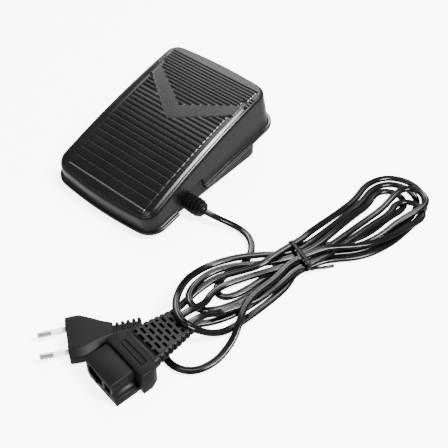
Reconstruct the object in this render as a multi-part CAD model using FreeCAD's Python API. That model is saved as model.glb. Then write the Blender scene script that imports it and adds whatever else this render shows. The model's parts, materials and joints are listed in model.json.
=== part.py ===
import FreeCAD, Part
import math
import os
from FreeCAD import Placement, Rotation, Vector

# Sewing machine foot control with its two flat leads, mains plug and machine connector.
# Millimetres. X across the pedal (the lead leaves on +X), Y towards the raised toe end,
# Z up. The origin is at the bottom centre of the pedal's own bounding box.

os.makedirs("parts", exist_ok=True)

# --- driving dimensions: pedal cover, in its own tilted frame (h is normal to the lip) ---
LIP_HALF = 54.0
LIP_FRONT = -80.0
LIP_REAR = 79.0
LIP_CORNER = 16.0
LIP_THICK = 3.0
LIP_PROUD = 2.6
FRONT_BOW = 6.5
REAR_BOW = 5.0
WALL = 2.4
DRAFT = 0.064
LOFT_HEIGHT = 46.0
SIDE_LENGTH = 144.0
FRONT_HEIGHT = 19.0
REAR_RISE = 16.8
ARCH = 3.0
SHOULDER = 3.5
COVER_TILT = 9.2
COVER_Y = 0.73
COVER_Z = 16.5

# --- driving dimensions: base, hinge and travel ---
BASE_HALF = 46.3
BASE_FRONT = -66.0
BASE_REAR = 62.0
BASE_BOTTOM = 1.5
FLOOR_TOP = 4.5
BASE_WALL = 2.0
BASE_CORNER = 11.0
BASE_FRONT_Z = 14.0
BASE_REAR_Z = 34.0
HINGE_Y = -55.0
HINGE_Z = 11.5
ROD_R = 2.0

# --- driving dimensions: leads ---
FLEX_DIA = 4.4
FLEX_Z = 2.25
GLAND_Y = -29.5
GLAND_Z = 10.0
GLAND_END = 66.0

# --- driving dimensions: plug and machine connector ---
PLUG_FACE = (74.4, -178.1)
PLUG_TURN = -36.0
PLUG_HALF = 17.65
PLUG_THICK = 13.7
PIN_R = 2.0
PIN_LENGTH = 19.0
PIN_ROOT_HALF = 9.3
PIN_TIP_HALF = 8.75
CONNECTOR_AT = (117.1, -168.8)
CONNECTOR_TURN = -8.2
BLOCK_HALF = 14.5
BLOCK_LENGTH = 18.3
BLOCK_HEIGHT = 19.1
CONTACT_R = 2.0
CONTACT_WALL = 0.4
CONTACT_PITCH = 8.4
CONTACT_Z = 9.5
CONTACT_START = 5.0
CONTACT_DEPTH = 15.0


def save(shape, node):
    shape.exportStep(f"parts/{node}.step")
    print(node, "solids", len(shape.Solids), "volume", round(shape.Volume, 1))


def box(x0, x1, y0, y1, z0, z1):
    return Part.makeBox(x1 - x0, y1 - y0, z1 - z0, Vector(x0, y0, z0))


def cylinder(radius, length, at, along=Vector(0, 0, 1)):
    return Part.makeCylinder(radius, length, at, along)


def arc_between(centre, radius, start_deg, end_deg, z):
    angles = (start_deg, (start_deg + end_deg) / 2, end_deg)
    points = []
    for angle in angles:
        turn = math.radians(angle)
        points.append(Vector(centre[0] + radius * math.cos(turn), centre[1] + radius * math.sin(turn), z))
    return Part.Arc(*points).toShape()


def outline(half, front, rear, corner, z, front_bow=FRONT_BOW, rear_bow=REAR_BOW):
    """A rounded rectangle whose front and rear edges are large arcs, as one closed wire."""
    centre_x = half - corner
    front_r = centre_x / math.sin(math.radians(front_bow)) + corner
    rear_r = centre_x / math.sin(math.radians(rear_bow)) + corner
    front_y = front + front_r - (front_r - corner) * math.cos(math.radians(front_bow))
    rear_y = rear - rear_r + (rear_r - corner) * math.cos(math.radians(rear_bow))
    edges = [
        Part.LineSegment(Vector(half, front_y, z), Vector(half, rear_y, z)).toShape(),
        arc_between((centre_x, rear_y), corner, 0, 90 - rear_bow, z),
        arc_between((0, rear - rear_r), rear_r, 90 - rear_bow, 90 + rear_bow, z),
        arc_between((-centre_x, rear_y), corner, 90 + rear_bow, 180, z),
        Part.LineSegment(Vector(-half, rear_y, z), Vector(-half, front_y, z)).toShape(),
        arc_between((-centre_x, front_y), corner, 180, 270 - front_bow, z),
        arc_between((0, front + front_r), front_r, 270 - front_bow, 270 + front_bow, z),
        arc_between((centre_x, front_y), corner, 270 + front_bow, 360, z),
    ]
    return Part.Wire(edges)


def slab(wire, height):
    return Part.Face(wire).extrude(Vector(0, 0, height))


def side_prism(points, half):
    """A prism along X from a polygon of (y, z) points."""
    corners = [Vector(-half, y, z) for y, z in points]
    return Part.Face(Part.makePolygon(corners + corners[:1])).extrude(Vector(2 * half, 0, 0))


def top_height(y):
    """Height of the cover's outer top surface above the lip plane."""
    half = SIDE_LENGTH / 2
    return FRONT_HEIGHT + (y + half) / SIDE_LENGTH * REAR_RISE + ARCH * (1 - (y / half) ** 2)


def arched_prism(drop):
    """Everything below the arched top surface, lowered by drop."""
    reach = 95.0
    start = Vector(-70, -reach, top_height(-reach) - drop)
    middle = Vector(-70, 0, top_height(0) - drop)
    end = Vector(-70, reach, top_height(reach) - drop)
    low_end = Vector(-70, reach, -6)
    low_start = Vector(-70, -reach, -6)
    edges = [
        Part.Arc(start, middle, end).toShape(),
        Part.LineSegment(end, low_end).toShape(),
        Part.LineSegment(low_end, low_start).toShape(),
        Part.LineSegment(low_start, start).toShape(),
    ]
    return Part.Face(Part.Wire(edges)).extrude(Vector(140, 0, 0))


def drafted(inset, low, high):
    """The cover's drafted body between two heights, inset from the lip's edge."""
    low_inset = inset + DRAFT * low
    high_inset = inset + DRAFT * high
    wires = []
    for height, step in ((low, low_inset), (high, high_inset)):
        wires.append(outline(LIP_HALF - step, LIP_FRONT + step, LIP_REAR - step, LIP_CORNER - step, height))
    return Part.makeLoft(wires, True, True)


def tilt_cover(shape):
    turned = shape.copy()
    turned.Placement = Placement(Vector(0, COVER_Y, COVER_Z), Rotation(Vector(1, 0, 0), COVER_TILT))
    return turned.copy()


# --- cover ---
RIB_HALF = 42.5
RIB_FIRST = -72.0
RIB_LAST = 66.0
RIB_WIDE = 8.2
RIB_NARROW = 3.3
RIB_DEPTH = 0.7
GROOVE_WIDTH = 1.2
CUT_FRONT = -46.0
CUT_REAR = -14.0
CUT_TOP = 11.5
LUG_X = 35.0
LUG_THICK = 4.0
LUG_R = 4.5
ROD_HALF = 41.5
ROD_GAP = 0.06
CAP_THICK = 2.0
SPRING_X = 30.0
SPRING_Y = 34.0
SPRING_R = 7.0
BOSS_BOTTOM = 36.3
HOOK_Y = 48.0
HOOK_REACH = 9.0
HOOK_HALF = 5.0
HOOK_BOTTOM = 24.0
LEDGE_GAP = 0.3
LEDGE_THICK = 3.0
PUSHER_Y = 9.0
PUSHER_BOTTOM = 41.6
PUSHER_R = 2.5


def rib_lines():
    """Places of the transverse tread grooves: wide at the heel, close at the toe."""
    lines = []
    y = RIB_FIRST
    while y < RIB_LAST:
        lines.append(y)
        share = (y - RIB_FIRST) / (RIB_LAST - RIB_FIRST)
        y += RIB_WIDE + (RIB_NARROW - RIB_WIDE) * min(1.0, 1.9 * share)
    return lines


def tread_cutters():
    cutters = []
    for y in rib_lines():
        slope = math.degrees(math.atan((top_height(y + 1) - top_height(y - 1)) / 2))
        cutter = box(-RIB_HALF, RIB_HALF, -GROOVE_WIDTH / 2, GROOVE_WIDTH / 2, -RIB_DEPTH, 2.0)
        cutter.Placement = Placement(Vector(0, y, top_height(y)), Rotation(Vector(1, 0, 0), slope))
        cutters.append(cutter)
    return Part.makeCompound(cutters)


def cover_shell():
    outer = drafted(LIP_PROUD, 0.0, LOFT_HEIGHT).common(arched_prism(0.0))
    top_edges = [edge for edge in outer.Edges if edge.BoundBox.ZMin > FRONT_HEIGHT - 4]
    outer = outer.makeFillet(SHOULDER, top_edges)
    lip = slab(outline(LIP_HALF, LIP_FRONT, LIP_REAR, LIP_CORNER, 0.0), LIP_THICK)
    inner = drafted(LIP_PROUD + WALL, -1.0, LOFT_HEIGHT).common(arched_prism(WALL))
    shell = outer.fuse(lip).cut(inner)
    window = box(40, 60, CUT_FRONT, CUT_REAR, -2, CUT_TOP)
    shell = shell.cut(window).cut(tread_cutters())
    return tilt_cover(shell)


def under_cover(solid):
    """Trims a post so that it stops at the underside of the cover's top wall."""
    return solid.common(tilt_cover(arched_prism(WALL)))


def hinge_lug(side):
    x0 = min(side * LUG_X, side * (LUG_X + LUG_THICK))
    lug = box(x0, x0 + LUG_THICK, HINGE_Y - LUG_R, HINGE_Y + LUG_R, HINGE_Z, 40)
    lug = lug.fuse(cylinder(LUG_R, LUG_THICK, Vector(x0, HINGE_Y, HINGE_Z), Vector(1, 0, 0)))
    bore = cylinder(ROD_R + ROD_GAP, LUG_THICK + 2, Vector(x0 - 1, HINGE_Y, HINGE_Z), Vector(1, 0, 0))
    return under_cover(lug).cut(bore)


def stop_hook(side):
    """A leg under the cover whose toe catches the tray's ledge at rest."""
    hook_x = (side * SPRING_X - HOOK_HALF, side * SPRING_X + HOOK_HALF)
    leg = box(*hook_x, HOOK_Y, HOOK_Y + WALL, HOOK_BOTTOM, 75)
    toe = box(*hook_x, HOOK_Y, HOOK_Y + HOOK_REACH, HOOK_BOTTOM, HOOK_BOTTOM + LEDGE_THICK)
    return under_cover(leg).fuse(toe).removeSplitter()


def cover_fittings():
    """Hinge lugs, spring bosses, stop hooks and the plunger's pusher, all under the cover."""
    parts = []
    for side in (-1, 1):
        boss = cylinder(SPRING_R + 0.5, 40, Vector(side * SPRING_X, SPRING_Y, BOSS_BOTTOM))
        parts += [hinge_lug(side), under_cover(boss), stop_hook(side)]
    pusher = cylinder(PUSHER_R, 30, Vector(0, PUSHER_Y, PUSHER_BOTTOM + PUSHER_R))
    pusher = pusher.fuse(Part.makeSphere(PUSHER_R, Vector(0, PUSHER_Y, PUSHER_BOTTOM + PUSHER_R)))
    parts.append(under_cover(pusher).removeSplitter())
    return Part.makeCompound(parts)


# --- base ---
LEDGE_LOW = HOOK_BOTTOM + LEDGE_THICK + LEDGE_GAP
LEDGE_START = 55.6
LEDGE_HALF = 6.0
RIM_TALL = 40.0
BRACKET_X = 28.0
BRACKET_THICK = 5.0
BRACKET_R = 3.9
SCREW_R = 1.2
FOOT_PLACES = [(x, y) for x in (-36, 36) for y in (-54, 50)]
FOOT_R = 7.0
FOOT_RECESS = 1.0
BOARD_X = (-34.0, 20.0)
BOARD_Y = (-24.0, 18.0)
BOARD_Z = 9.0
BOARD_THICK = 1.6
BOARD_HOLES = [(x, y) for x in (-30, 16) for y in (-20, 14)]
CLAMP_X = 36.0
CLAMP_REACH = 8.0
GLAND_HOLE_R = 4.2
SEAM_Y = 6.0


def base_tray():
    tray = slab(outline(BASE_HALF, BASE_FRONT, BASE_REAR, BASE_CORNER, BASE_BOTTOM, 4.0, 3.0), 40)
    slope = (BASE_REAR_Z - BASE_FRONT_Z) / (BASE_REAR - BASE_FRONT)
    low_z = BASE_FRONT_Z - 14 * slope
    high_z = BASE_REAR_Z + 18 * slope
    tray = tray.common(side_prism([(-80, 0), (80, 0), (80, high_z), (-80, low_z)], 60))
    low_edges = [edge for edge in tray.Edges if edge.BoundBox.ZMax < BASE_BOTTOM + 0.01]
    tray = tray.makeFillet(1.4, low_edges)
    inner = outline(BASE_HALF - BASE_WALL, BASE_FRONT + BASE_WALL, BASE_REAR - BASE_WALL,
                    BASE_CORNER - BASE_WALL, FLOOR_TOP, 4.0, 3.0)
    tray = tray.cut(slab(inner, 50))
    for side in (-1, 1):
        seam = box(side * BASE_HALF - 0.4, side * BASE_HALF + 0.4, SEAM_Y, SEAM_Y + 0.8, 0, 40)
        tray = tray.cut(seam)
    hole = cylinder(GLAND_HOLE_R, 10, Vector(BASE_HALF - 5, GLAND_Y, GLAND_Z), Vector(1, 0, 0))
    tray = tray.cut(hole)
    for x, y in FOOT_PLACES:
        tray = tray.cut(cylinder(FOOT_R, FOOT_RECESS, Vector(x, y, BASE_BOTTOM)))
    return tray.removeSplitter()


def hinge_bracket(side):
    x0 = min(side * BRACKET_X, side * (BRACKET_X + BRACKET_THICK))
    bracket = box(x0, x0 + BRACKET_THICK, HINGE_Y - BRACKET_R, HINGE_Y + 5, FLOOR_TOP, HINGE_Z)
    bracket = bracket.fuse(cylinder(BRACKET_R, BRACKET_THICK, Vector(x0, HINGE_Y, HINGE_Z), Vector(1, 0, 0)))
    bore = cylinder(ROD_R, BRACKET_THICK + 2, Vector(x0 - 1, HINGE_Y, HINGE_Z), Vector(1, 0, 0))
    return bracket.cut(bore)


def tray_fittings():
    """Brackets, posts and ledges that stand in the tray."""
    parts = []
    for side in (-1, 1):
        parts.append(hinge_bracket(side).removeSplitter())
        parts.append(cylinder(4.5, 5.5, Vector(side * SPRING_X, SPRING_Y, FLOOR_TOP)))
        parts.append(box(side * SPRING_X - LEDGE_HALF, side * SPRING_X + LEDGE_HALF, LEDGE_START,
                         BASE_REAR - 2.4, LEDGE_LOW, LEDGE_LOW + LEDGE_THICK))
    for x, y in BOARD_HOLES:
        post = cylinder(3.0, BOARD_Z - FLOOR_TOP, Vector(x, y, FLOOR_TOP))
        parts.append(post.cut(cylinder(SCREW_R, 6, Vector(x, y, BOARD_Z - 4))))
    clamp_top = GLAND_Z + FLEX_DIA / 2
    for reach in (-CLAMP_REACH, CLAMP_REACH):
        post = cylinder(3.2, clamp_top - FLOOR_TOP, Vector(CLAMP_X, GLAND_Y + reach, FLOOR_TOP))
        parts.append(post.cut(cylinder(SCREW_R, 6, Vector(CLAMP_X, GLAND_Y + reach, clamp_top - 5))))
    parts.append(box(CLAMP_X - 3, CLAMP_X + 3, GLAND_Y - 4, GLAND_Y + 4, FLOOR_TOP, GLAND_Z - FLEX_DIA / 2))
    return Part.makeCompound(parts)


def rubber_feet():
    feet = [cylinder(FOOT_R, BASE_BOTTOM + FOOT_RECESS, Vector(x, y, 0)) for x, y in FOOT_PLACES]
    return Part.makeCompound(feet)


def hinge_rod():
    return cylinder(ROD_R, 2 * ROD_HALF, Vector(-ROD_HALF, HINGE_Y, HINGE_Z), Vector(1, 0, 0))


def rod_caps():
    caps = []
    for x in (-ROD_HALF, ROD_HALF - CAP_THICK):
        cap = cylinder(3.6, CAP_THICK, Vector(x, HINGE_Y, HINGE_Z), Vector(1, 0, 0))
        caps.append(cap.cut(cylinder(ROD_R, 4, Vector(x - 1, HINGE_Y, HINGE_Z), Vector(1, 0, 0))))
    return Part.makeCompound(caps)


def return_spring(side):
    """A compression spring between the tray floor and the boss under the cover."""
    wire_r = 0.65
    turns = 7
    mean_r = SPRING_R - wire_r
    low = FLOOR_TOP + wire_r + 0.05
    high = BOSS_BOTTOM - wire_r - 0.2
    helix = Part.makeHelix((high - low) / turns, high - low, mean_r)
    section = Part.Wire(Part.makeCircle(wire_r, Vector(mean_r, 0, 0), Vector(0, 1, 0)))
    coil = Part.Wire(helix.Edges).makePipeShell([section], True, True)
    coil.translate(Vector(side * SPRING_X, SPRING_Y, low))
    return coil


def bump_stops():
    """Soft pads on the tray floor under the cover's two hooks."""
    pads = []
    for side in (-1, 1):
        x = side * SPRING_X
        pads.append(box(x - 4, x + 4, HOOK_Y, HOOK_Y + 8, FLOOR_TOP, FLOOR_TOP + 1.2))
    return Part.makeCompound(pads)


# --- electrical parts inside the base ---
BOARD_TOP = BOARD_Z + BOARD_THICK
WIPER_Y = 11.0
WIPER_TOP = 41.0
STEM_BOTTOM = 18.0


def circuit_board():
    board = box(*BOARD_X, *BOARD_Y, BOARD_Z, BOARD_TOP)
    for x, y in BOARD_HOLES:
        board = board.cut(cylinder(1.6, 4, Vector(x, y, BOARD_Z - 1)))
    return board.cut(box(-3.2, 3.2, WIPER_Y - 2.2, WIPER_Y + 2.2, BOARD_Z - 1, BOARD_TOP + 1))


def pan_screw(x, y, z, length):
    head = cylinder(2.4, 1.6, Vector(x, y, z))
    slot = box(x - 3, x + 3, y - 0.4, y + 0.4, z + 0.9, z + 2)
    return head.cut(slot).fuse(cylinder(1.2, length, Vector(x, y, z - length)))


def board_screws():
    return Part.makeCompound([pan_screw(x, y, BOARD_TOP, 5.0) for x, y in BOARD_HOLES])


def slide_resistor_body():
    body = box(-6, 6, WIPER_Y - 5, WIPER_Y + 5, BOARD_TOP, 28)
    return body.cut(box(-2.7, 2.7, WIPER_Y - 1.7, WIPER_Y + 1.7, BOARD_TOP - 1, 30))


def wiper_plunger():
    stem = box(-2.5, 2.5, WIPER_Y - 1.5, WIPER_Y + 1.5, STEM_BOTTOM, WIPER_TOP - 1)
    return stem.fuse(box(-4, 4, WIPER_Y - 7, WIPER_Y + 7, WIPER_TOP - 2, WIPER_TOP))


def triac():
    body = box(-27, -17, -2.4, 2.0, BOARD_TOP + 3, BOARD_TOP + 12)
    tab = box(-27, -17, 0.8, 2.0, BOARD_TOP + 12, BOARD_TOP + 17)
    legs = [box(x - 0.4, x + 0.4, -0.6, 0.0, BOARD_TOP, BOARD_TOP + 3) for x in (-24.5, -22, -19.5)]
    return body.fuse(tab).fuse(legs)


def heat_sink():
    sink = box(-32, -12, 2.0, 3.6, BOARD_TOP, BOARD_TOP + 19)
    for x in (-32, -26, -19.6, -13.6):
        sink = sink.fuse(box(x, x + 1.6, 3.0, 9.0, BOARD_TOP, BOARD_TOP + 19))
    return sink


def film_capacitor():
    block = box(-10, 4, -14, -7, BOARD_TOP, BOARD_TOP + 11)
    return block.makeFillet(0.8, block.Edges)


CHOKE = (-24.0, -13.0)


def choke_core():
    core = cylinder(6.0, 1.6, Vector(*CHOKE, BOARD_TOP))
    core = core.fuse(cylinder(2.5, 12, Vector(*CHOKE, BOARD_TOP)))
    return core.fuse(cylinder(6.0, 1.6, Vector(*CHOKE, BOARD_TOP + 10.4)))


def choke_winding():
    coil = cylinder(5.2, 8.8, Vector(*CHOKE, BOARD_TOP + 1.6))
    return coil.cut(cylinder(2.5, 10, Vector(*CHOKE, BOARD_TOP + 1)))


def resistors():
    bodies = []
    for index in range(3):
        y = -3.0 + 3.4 * index
        body = cylinder(1.2, 6.5, Vector(8.5, y, BOARD_TOP + 1.4), Vector(1, 0, 0))
        bodies.append(body.fuse(cylinder(0.35, 10, Vector(6.7, y, BOARD_TOP + 1.4), Vector(1, 0, 0))))
    return Part.makeCompound(bodies)


def diac():
    return cylinder(1.0, 4.0, Vector(9.6, 8.0, BOARD_TOP + 1.1), Vector(1, 0, 0))


FUSE_Y = -20.0
FUSE_X = -12.0
FUSE_LENGTH = 12.0
CAP_LENGTH = 4.0
CAP_R = 2.6


def fuse_glass():
    return cylinder(2.3, FUSE_LENGTH, Vector(FUSE_X, FUSE_Y, BOARD_TOP + 4), Vector(1, 0, 0))


def fuse_caps():
    caps = []
    for x in (FUSE_X - CAP_LENGTH, FUSE_X + FUSE_LENGTH):
        caps.append(cylinder(CAP_R, CAP_LENGTH, Vector(x, FUSE_Y, BOARD_TOP + 4), Vector(1, 0, 0)))
    return Part.makeCompound(caps)


def fuse_clips():
    clips = []
    for x in (FUSE_X - 4, FUSE_X + 13):
        clip = box(x, x + 3, FUSE_Y - 3.2, FUSE_Y + 3.2, BOARD_TOP, BOARD_TOP + 5.5)
        clips.append(clip.cut(cylinder(CAP_R, 5, Vector(x - 1, FUSE_Y, BOARD_TOP + 4), Vector(1, 0, 0))))
    return Part.makeCompound(clips)


TERMINAL = (8.0, 18.0, -17.0, -6.5)


def terminal_block():
    x0, x1, y0, y1 = TERMINAL
    block = box(x0, x1, y0, y1, BOARD_TOP, BOARD_TOP + 9)
    for y in (y0 + 2.7, y1 - 2.7):
        block = block.cut(cylinder(1.9, 4, Vector((x0 + x1) / 2, y, BOARD_TOP + 6)))
        block = block.cut(cylinder(1.3, 4, Vector(x1 - 3, y, BOARD_TOP + 3.5), Vector(1, 0, 0)))
    return block


def terminal_screws():
    x0, x1, y0, y1 = TERMINAL
    screws = []
    for y in (y0 + 2.7, y1 - 2.7):
        head = cylinder(1.7, 2.0, Vector((x0 + x1) / 2, y, BOARD_TOP + 6))
        slot = box((x0 + x1) / 2 - 2, (x0 + x1) / 2 + 2, y - 0.3, y + 0.3, BOARD_TOP + 7.3, BOARD_TOP + 9)
        screws.append(head.cut(slot))
    return Part.makeCompound(screws)


# --- leads: tubes of straight runs joined by tangent arcs ---
def tube(points, diameter, name):
    """A round tube; each arc takes 0.45 of the shorter run beside its corner."""
    path = [Vector(*point) for point in points]
    edges = []
    start = path[0]
    radii = []
    for before, corner, after in zip(path, path[1:], path[2:]):
        back = (before - corner)
        ahead = (after - corner)
        reach = 0.45 * min(back.Length, ahead.Length)
        half_turn = (math.pi - back.getAngle(ahead)) / 2
        radius = reach / math.tan(half_turn)
        radii.append(round(radius, 1))
        first = corner + back.normalize() * reach
        last = corner + ahead.normalize() * reach
        inward = (back + ahead).normalize()
        middle = corner + inward * (radius / math.cos(half_turn) - radius)
        edges.append(Part.LineSegment(start, first).toShape())
        edges.append(Part.Arc(first, middle, last).toShape())
        start = last
    edges.append(Part.LineSegment(start, path[-1]).toShape())
    wire = Part.Wire(edges)
    section = Part.Wire(Part.makeCircle(diameter / 2, path[0], path[1] - path[0]))
    solid = wire.makePipeShell([section], True, False)
    expected = math.pi * diameter ** 2 / 4 * wire.Length
    print(name, "length", round(wire.Length, 1), "bend radii", radii, "volume ratio",
          round(solid.Volume / expected, 4))
    return solid


WIRE_DIA = 2.0
TAIL_END = 29.0

PEDAL_LEAD = [
    (GLAND_END, GLAND_Y, GLAND_Z),
    (74.6, -28.4, 9.3),
    (83.4, -24.2, 6.0),
    (91.6, -21.0, 3.3),
    (100.3, -21.2, 2.4),
    (108.0, -25.2, FLEX_Z),
    (113.6, -31.6, FLEX_Z),
    (116.6, -39.5, FLEX_Z),
]
LOOSE_TURN = [
    (109.0, -110.0, FLEX_Z),
    (108.4, -120.5, FLEX_Z),
    (113.0, -131.5, FLEX_Z),
    (122.5, -140.0, FLEX_Z),
    (133.5, -144.8, FLEX_Z),
    (143.5, -144.2, FLEX_Z),
    (151.3, -139.2, FLEX_Z),
    (156.0, -130.5, FLEX_Z),
    (157.6, -118.5, FLEX_Z),
    (156.0, -104.0, 4.5),
    (151.0, -91.0, 8.2),
    (145.5, -80.0, 8.7),
]


WIRES = {
    "live_wire": [(TAIL_END, GLAND_Y - 1.1, GLAND_Z), (24.0, -30.4, 10.8), (21.8, -24.5, 13.4),
                  (21.2, -16.5, 14.1), (16.0, -14.3, 14.1)],
    "neutral_wire": [(TAIL_END, GLAND_Y + 1.1, GLAND_Z), (26.5, -27.6, 11.2), (25.2, -20.0, 14.6),
                     (23.5, -12.0, 14.6), (16.0, -9.2, 14.1)],
}


def flex_tail():
    return cylinder(FLEX_DIA / 2, 42.0 - TAIL_END, Vector(TAIL_END, GLAND_Y, GLAND_Z), Vector(1, 0, 0))


def cord_clamp():
    z = GLAND_Z + FLEX_DIA / 2
    bar = box(CLAMP_X - 3, CLAMP_X + 3, GLAND_Y - CLAMP_REACH - 3.2, GLAND_Y + CLAMP_REACH + 3.2, z, z + 2.4)
    for reach in (-CLAMP_REACH, CLAMP_REACH):
        bar = bar.cut(cylinder(1.6, 6, Vector(CLAMP_X, GLAND_Y + reach, z - 1)))
    return bar


def clamp_screws():
    z = GLAND_Z + FLEX_DIA / 2 + 2.4
    screws = [pan_screw(CLAMP_X, GLAND_Y + reach, z, 6.0) for reach in (-CLAMP_REACH, CLAMP_REACH)]
    return Part.makeCompound(screws)


def cord_strain_relief():
    """Moulded boot through the tray wall: flange, neck, growing rings and a domed end."""
    core_r = 4.9
    profile = [(42.0, 0), (42.0, 5.4), (44.3, 5.4), (44.3, GLAND_HOLE_R), (BASE_HALF, GLAND_HOLE_R),
               (BASE_HALF, 6.4), (48.0, 6.4)]
    x = 48.0
    for ring_r in (6.2, 6.7, 7.2):
        profile += [(x, core_r), (x + 1.3, core_r), (x + 1.3, ring_r), (x + 3.4, ring_r)]
        x += 3.4
    profile += [(x, core_r), (x + 1.3, core_r), (x + 1.3, 7.3)]
    dome_start = x + 1.3
    corners = [Vector(px, 0, pr) for px, pr in profile]
    edges = [Part.LineSegment(a, b).toShape() for a, b in zip(corners, corners[1:])]
    dome_mid = Vector(dome_start + 0.74 * (GLAND_END - dome_start), 0, 6.0)
    rim = Vector(GLAND_END, 0, 2.6)
    end = Vector(GLAND_END, 0, 0)
    edges.append(Part.Arc(corners[-1], dome_mid, rim).toShape())
    edges.append(Part.LineSegment(rim, end).toShape())
    edges.append(Part.LineSegment(end, corners[0]).toShape())
    boot = Part.Face(Part.Wire(edges)).revolve(Vector(0, 0, 0), Vector(1, 0, 0), 360)
    boot.translate(Vector(0, GLAND_Y, GLAND_Z))
    return boot


# --- hank ---
HANK_HEIGHT = 10.0
HANK_EDGE = [
    (158.0, -14.0), (175.0, 4.0), (188.0, 30.0), (192.0, 62.0), (190.5, 90.0), (178.0, 103.0),
    (160.0, 110.5), (147.0, 103.0), (140.5, 78.0), (138.0, 42.0), (136.5, 8.0), (134.5, -14.0),
    (117.0, -38.0), (105.0, -60.0), (99.5, -82.0), (101.0, -102.0), (112.0, -116.0), (130.0, -118.5),
    (144.0, -106.0), (151.5, -86.0), (153.5, -60.0), (154.0, -36.0),
]


def cord_hank():
    """The outer shape of the tied, two-lobed hank."""
    curve = Part.BSplineCurve()
    curve.interpolate([Vector(x, y, 0) for x, y in HANK_EDGE], PeriodicFlag=True)
    hank = Part.Face(Part.Wire([curve.toShape()])).extrude(Vector(0, 0, HANK_HEIGHT))
    return hank.cut(cord_tie())


TIE_AT = (146.2, -16.0)
TIE_TURN = -21.0
TIE_HALF = 13.5
TIE_WIDTH = 4.0
TIE_BAND = 1.0
TAIL_AT = (158.4, -20.4)
TAIL_TURN = 60.0
TAIL_LENGTH = 19.0


def tie_band():
    band = box(-TIE_HALF, TIE_HALF, -TIE_WIDTH / 2, TIE_WIDTH / 2, 0.05, HANK_HEIGHT + 1.2)
    band = band.makeFillet(1.2, [edge for edge in band.Edges if edge.BoundBox.YLength > TIE_WIDTH / 2])
    inner = TIE_HALF - TIE_BAND
    band = band.cut(box(-inner, inner, -TIE_WIDTH, TIE_WIDTH, 0.05 + TIE_BAND, HANK_HEIGHT + 1.2 - TIE_BAND))
    band.Placement = Placement(Vector(*TIE_AT, 0), Rotation(Vector(0, 0, 1), TIE_TURN))
    return band.copy()


def cord_tie():
    """A twist tie round the waist of the hank, with its short twisted tail."""
    tail = box(0, TAIL_LENGTH, -1.2, 1.2, 1.0, 2.4)
    tail.Placement = Placement(Vector(*TAIL_AT, 0), Rotation(Vector(0, 0, 1), TAIL_TURN))
    return tie_band().fuse(tail)


# --- mains plug ---
PLUG_SHOULDER = 9.5
PLUG_BODY = 31.0
PLUG_END = 50.8
PLUG_TAIL_HALF = 6.4
PLUG_EDGE_HALF = 3.2
PLUG_FLAT_HALF = 11.5
RING_PITCH = 3.8
RING_HALF = 5.6
RING_THICK = 7.0


def place_plug(shape):
    placed = shape.copy()
    placed.Placement = Placement(Vector(*PLUG_FACE, PLUG_THICK / 2), Rotation(Vector(0, 0, 1), PLUG_TURN))
    return placed.copy()


def flat_hexagon(half, thick, edge_half, flat_half, y):
    """The plug's flat six-sided section at a distance y from its face."""
    corners = [(half, edge_half), (flat_half, thick / 2), (-flat_half, thick / 2), (-half, edge_half),
               (-half, -edge_half), (-flat_half, -thick / 2), (flat_half, -thick / 2), (half, -edge_half)]
    points = [Vector(x, y, z) for x, z in corners]
    return Part.makePolygon(points + points[:1])


def plug_body():
    face = flat_hexagon(PLUG_HALF, PLUG_THICK, PLUG_EDGE_HALF, PLUG_FLAT_HALF, 0)
    shoulder = flat_hexagon(PLUG_HALF, PLUG_THICK, PLUG_EDGE_HALF, PLUG_FLAT_HALF, PLUG_SHOULDER)
    tail = flat_hexagon(PLUG_TAIL_HALF, 9.6, 2.6, 4.2, PLUG_BODY)
    front = Part.makeLoft([face, shoulder], True, True)
    rear = Part.makeLoft([shoulder, tail], True, True)
    body = front.fuse(rear).removeSplitter()
    body = body.fuse(box(-4.2, 4.2, PLUG_BODY - 1, PLUG_END, -2.8, 2.8))
    for index in range(5):
        y = PLUG_BODY + 1.6 + RING_PITCH * index
        half = RING_HALF + 0.2 * index
        ring = box(-half, half, y, y + 2.6, -RING_THICK / 2, RING_THICK / 2)
        ring = ring.makeFillet(1.2, ring.Edges)
        body = body.fuse(ring)
    for side in (-1, 1):
        body = body.cut(pin_cylinder(side, -PIN_SEAT, PIN_SEAT, CORE_R))
    return place_plug(body.removeSplitter())


def pin_cylinder(side, start, length, radius):
    """A pin leaning inwards; start counts along the pin from the plug's face outwards."""
    root = Vector(side * PIN_ROOT_HALF, 0, 0)
    tip = Vector(side * PIN_TIP_HALF, -PIN_LENGTH, 0)
    along = (tip - root).normalize()
    return cylinder(radius, length, root + along * start, along)


SLEEVE_START = 0.3
SLEEVE_LENGTH = 10.0
CORE_R = 1.45
PIN_SEAT = 6.0
TIP_FILLET = 0.9


def plug_pins():
    pins = []
    for side in (-1, 1):
        core = pin_cylinder(side, -PIN_SEAT, PIN_SEAT + SLEEVE_LENGTH + 1, CORE_R)
        metal = pin_cylinder(side, SLEEVE_LENGTH, PIN_LENGTH - SLEEVE_LENGTH, PIN_R)
        end_edges = [edge for edge in metal.Edges if edge.BoundBox.YMax < -PIN_LENGTH + 0.5]
        pins.append(core.fuse(metal.makeFillet(TIP_FILLET, end_edges)).removeSplitter())
    return place_plug(Part.makeCompound(pins))


def plug_pin_sleeves():
    sleeves = []
    for side in (-1, 1):
        sleeve = pin_cylinder(side, SLEEVE_START, SLEEVE_LENGTH - SLEEVE_START, PIN_R)
        sleeves.append(sleeve.cut(pin_cylinder(side, -1.0, SLEEVE_LENGTH + 2, CORE_R)))
    return place_plug(Part.makeCompound(sleeves))


# --- machine connector ---
COLLAR = (-18.2, 21.6)
COLLAR_LENGTH = 11.3
COLLAR_TOP = 20.0
BOOT_END = 50.0
BOOT_ROOT = (-16.5, 19.0)
BOOT_TIP = (-10.5, 12.8)
BOOT_LOW = 10.8
BOOT_ROOT_TOP = 19.4
BOOT_TIP_TOP = 17.6
FLANGE_STEP = 3.0
FLANGE_HEIGHT = 5.5


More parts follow.
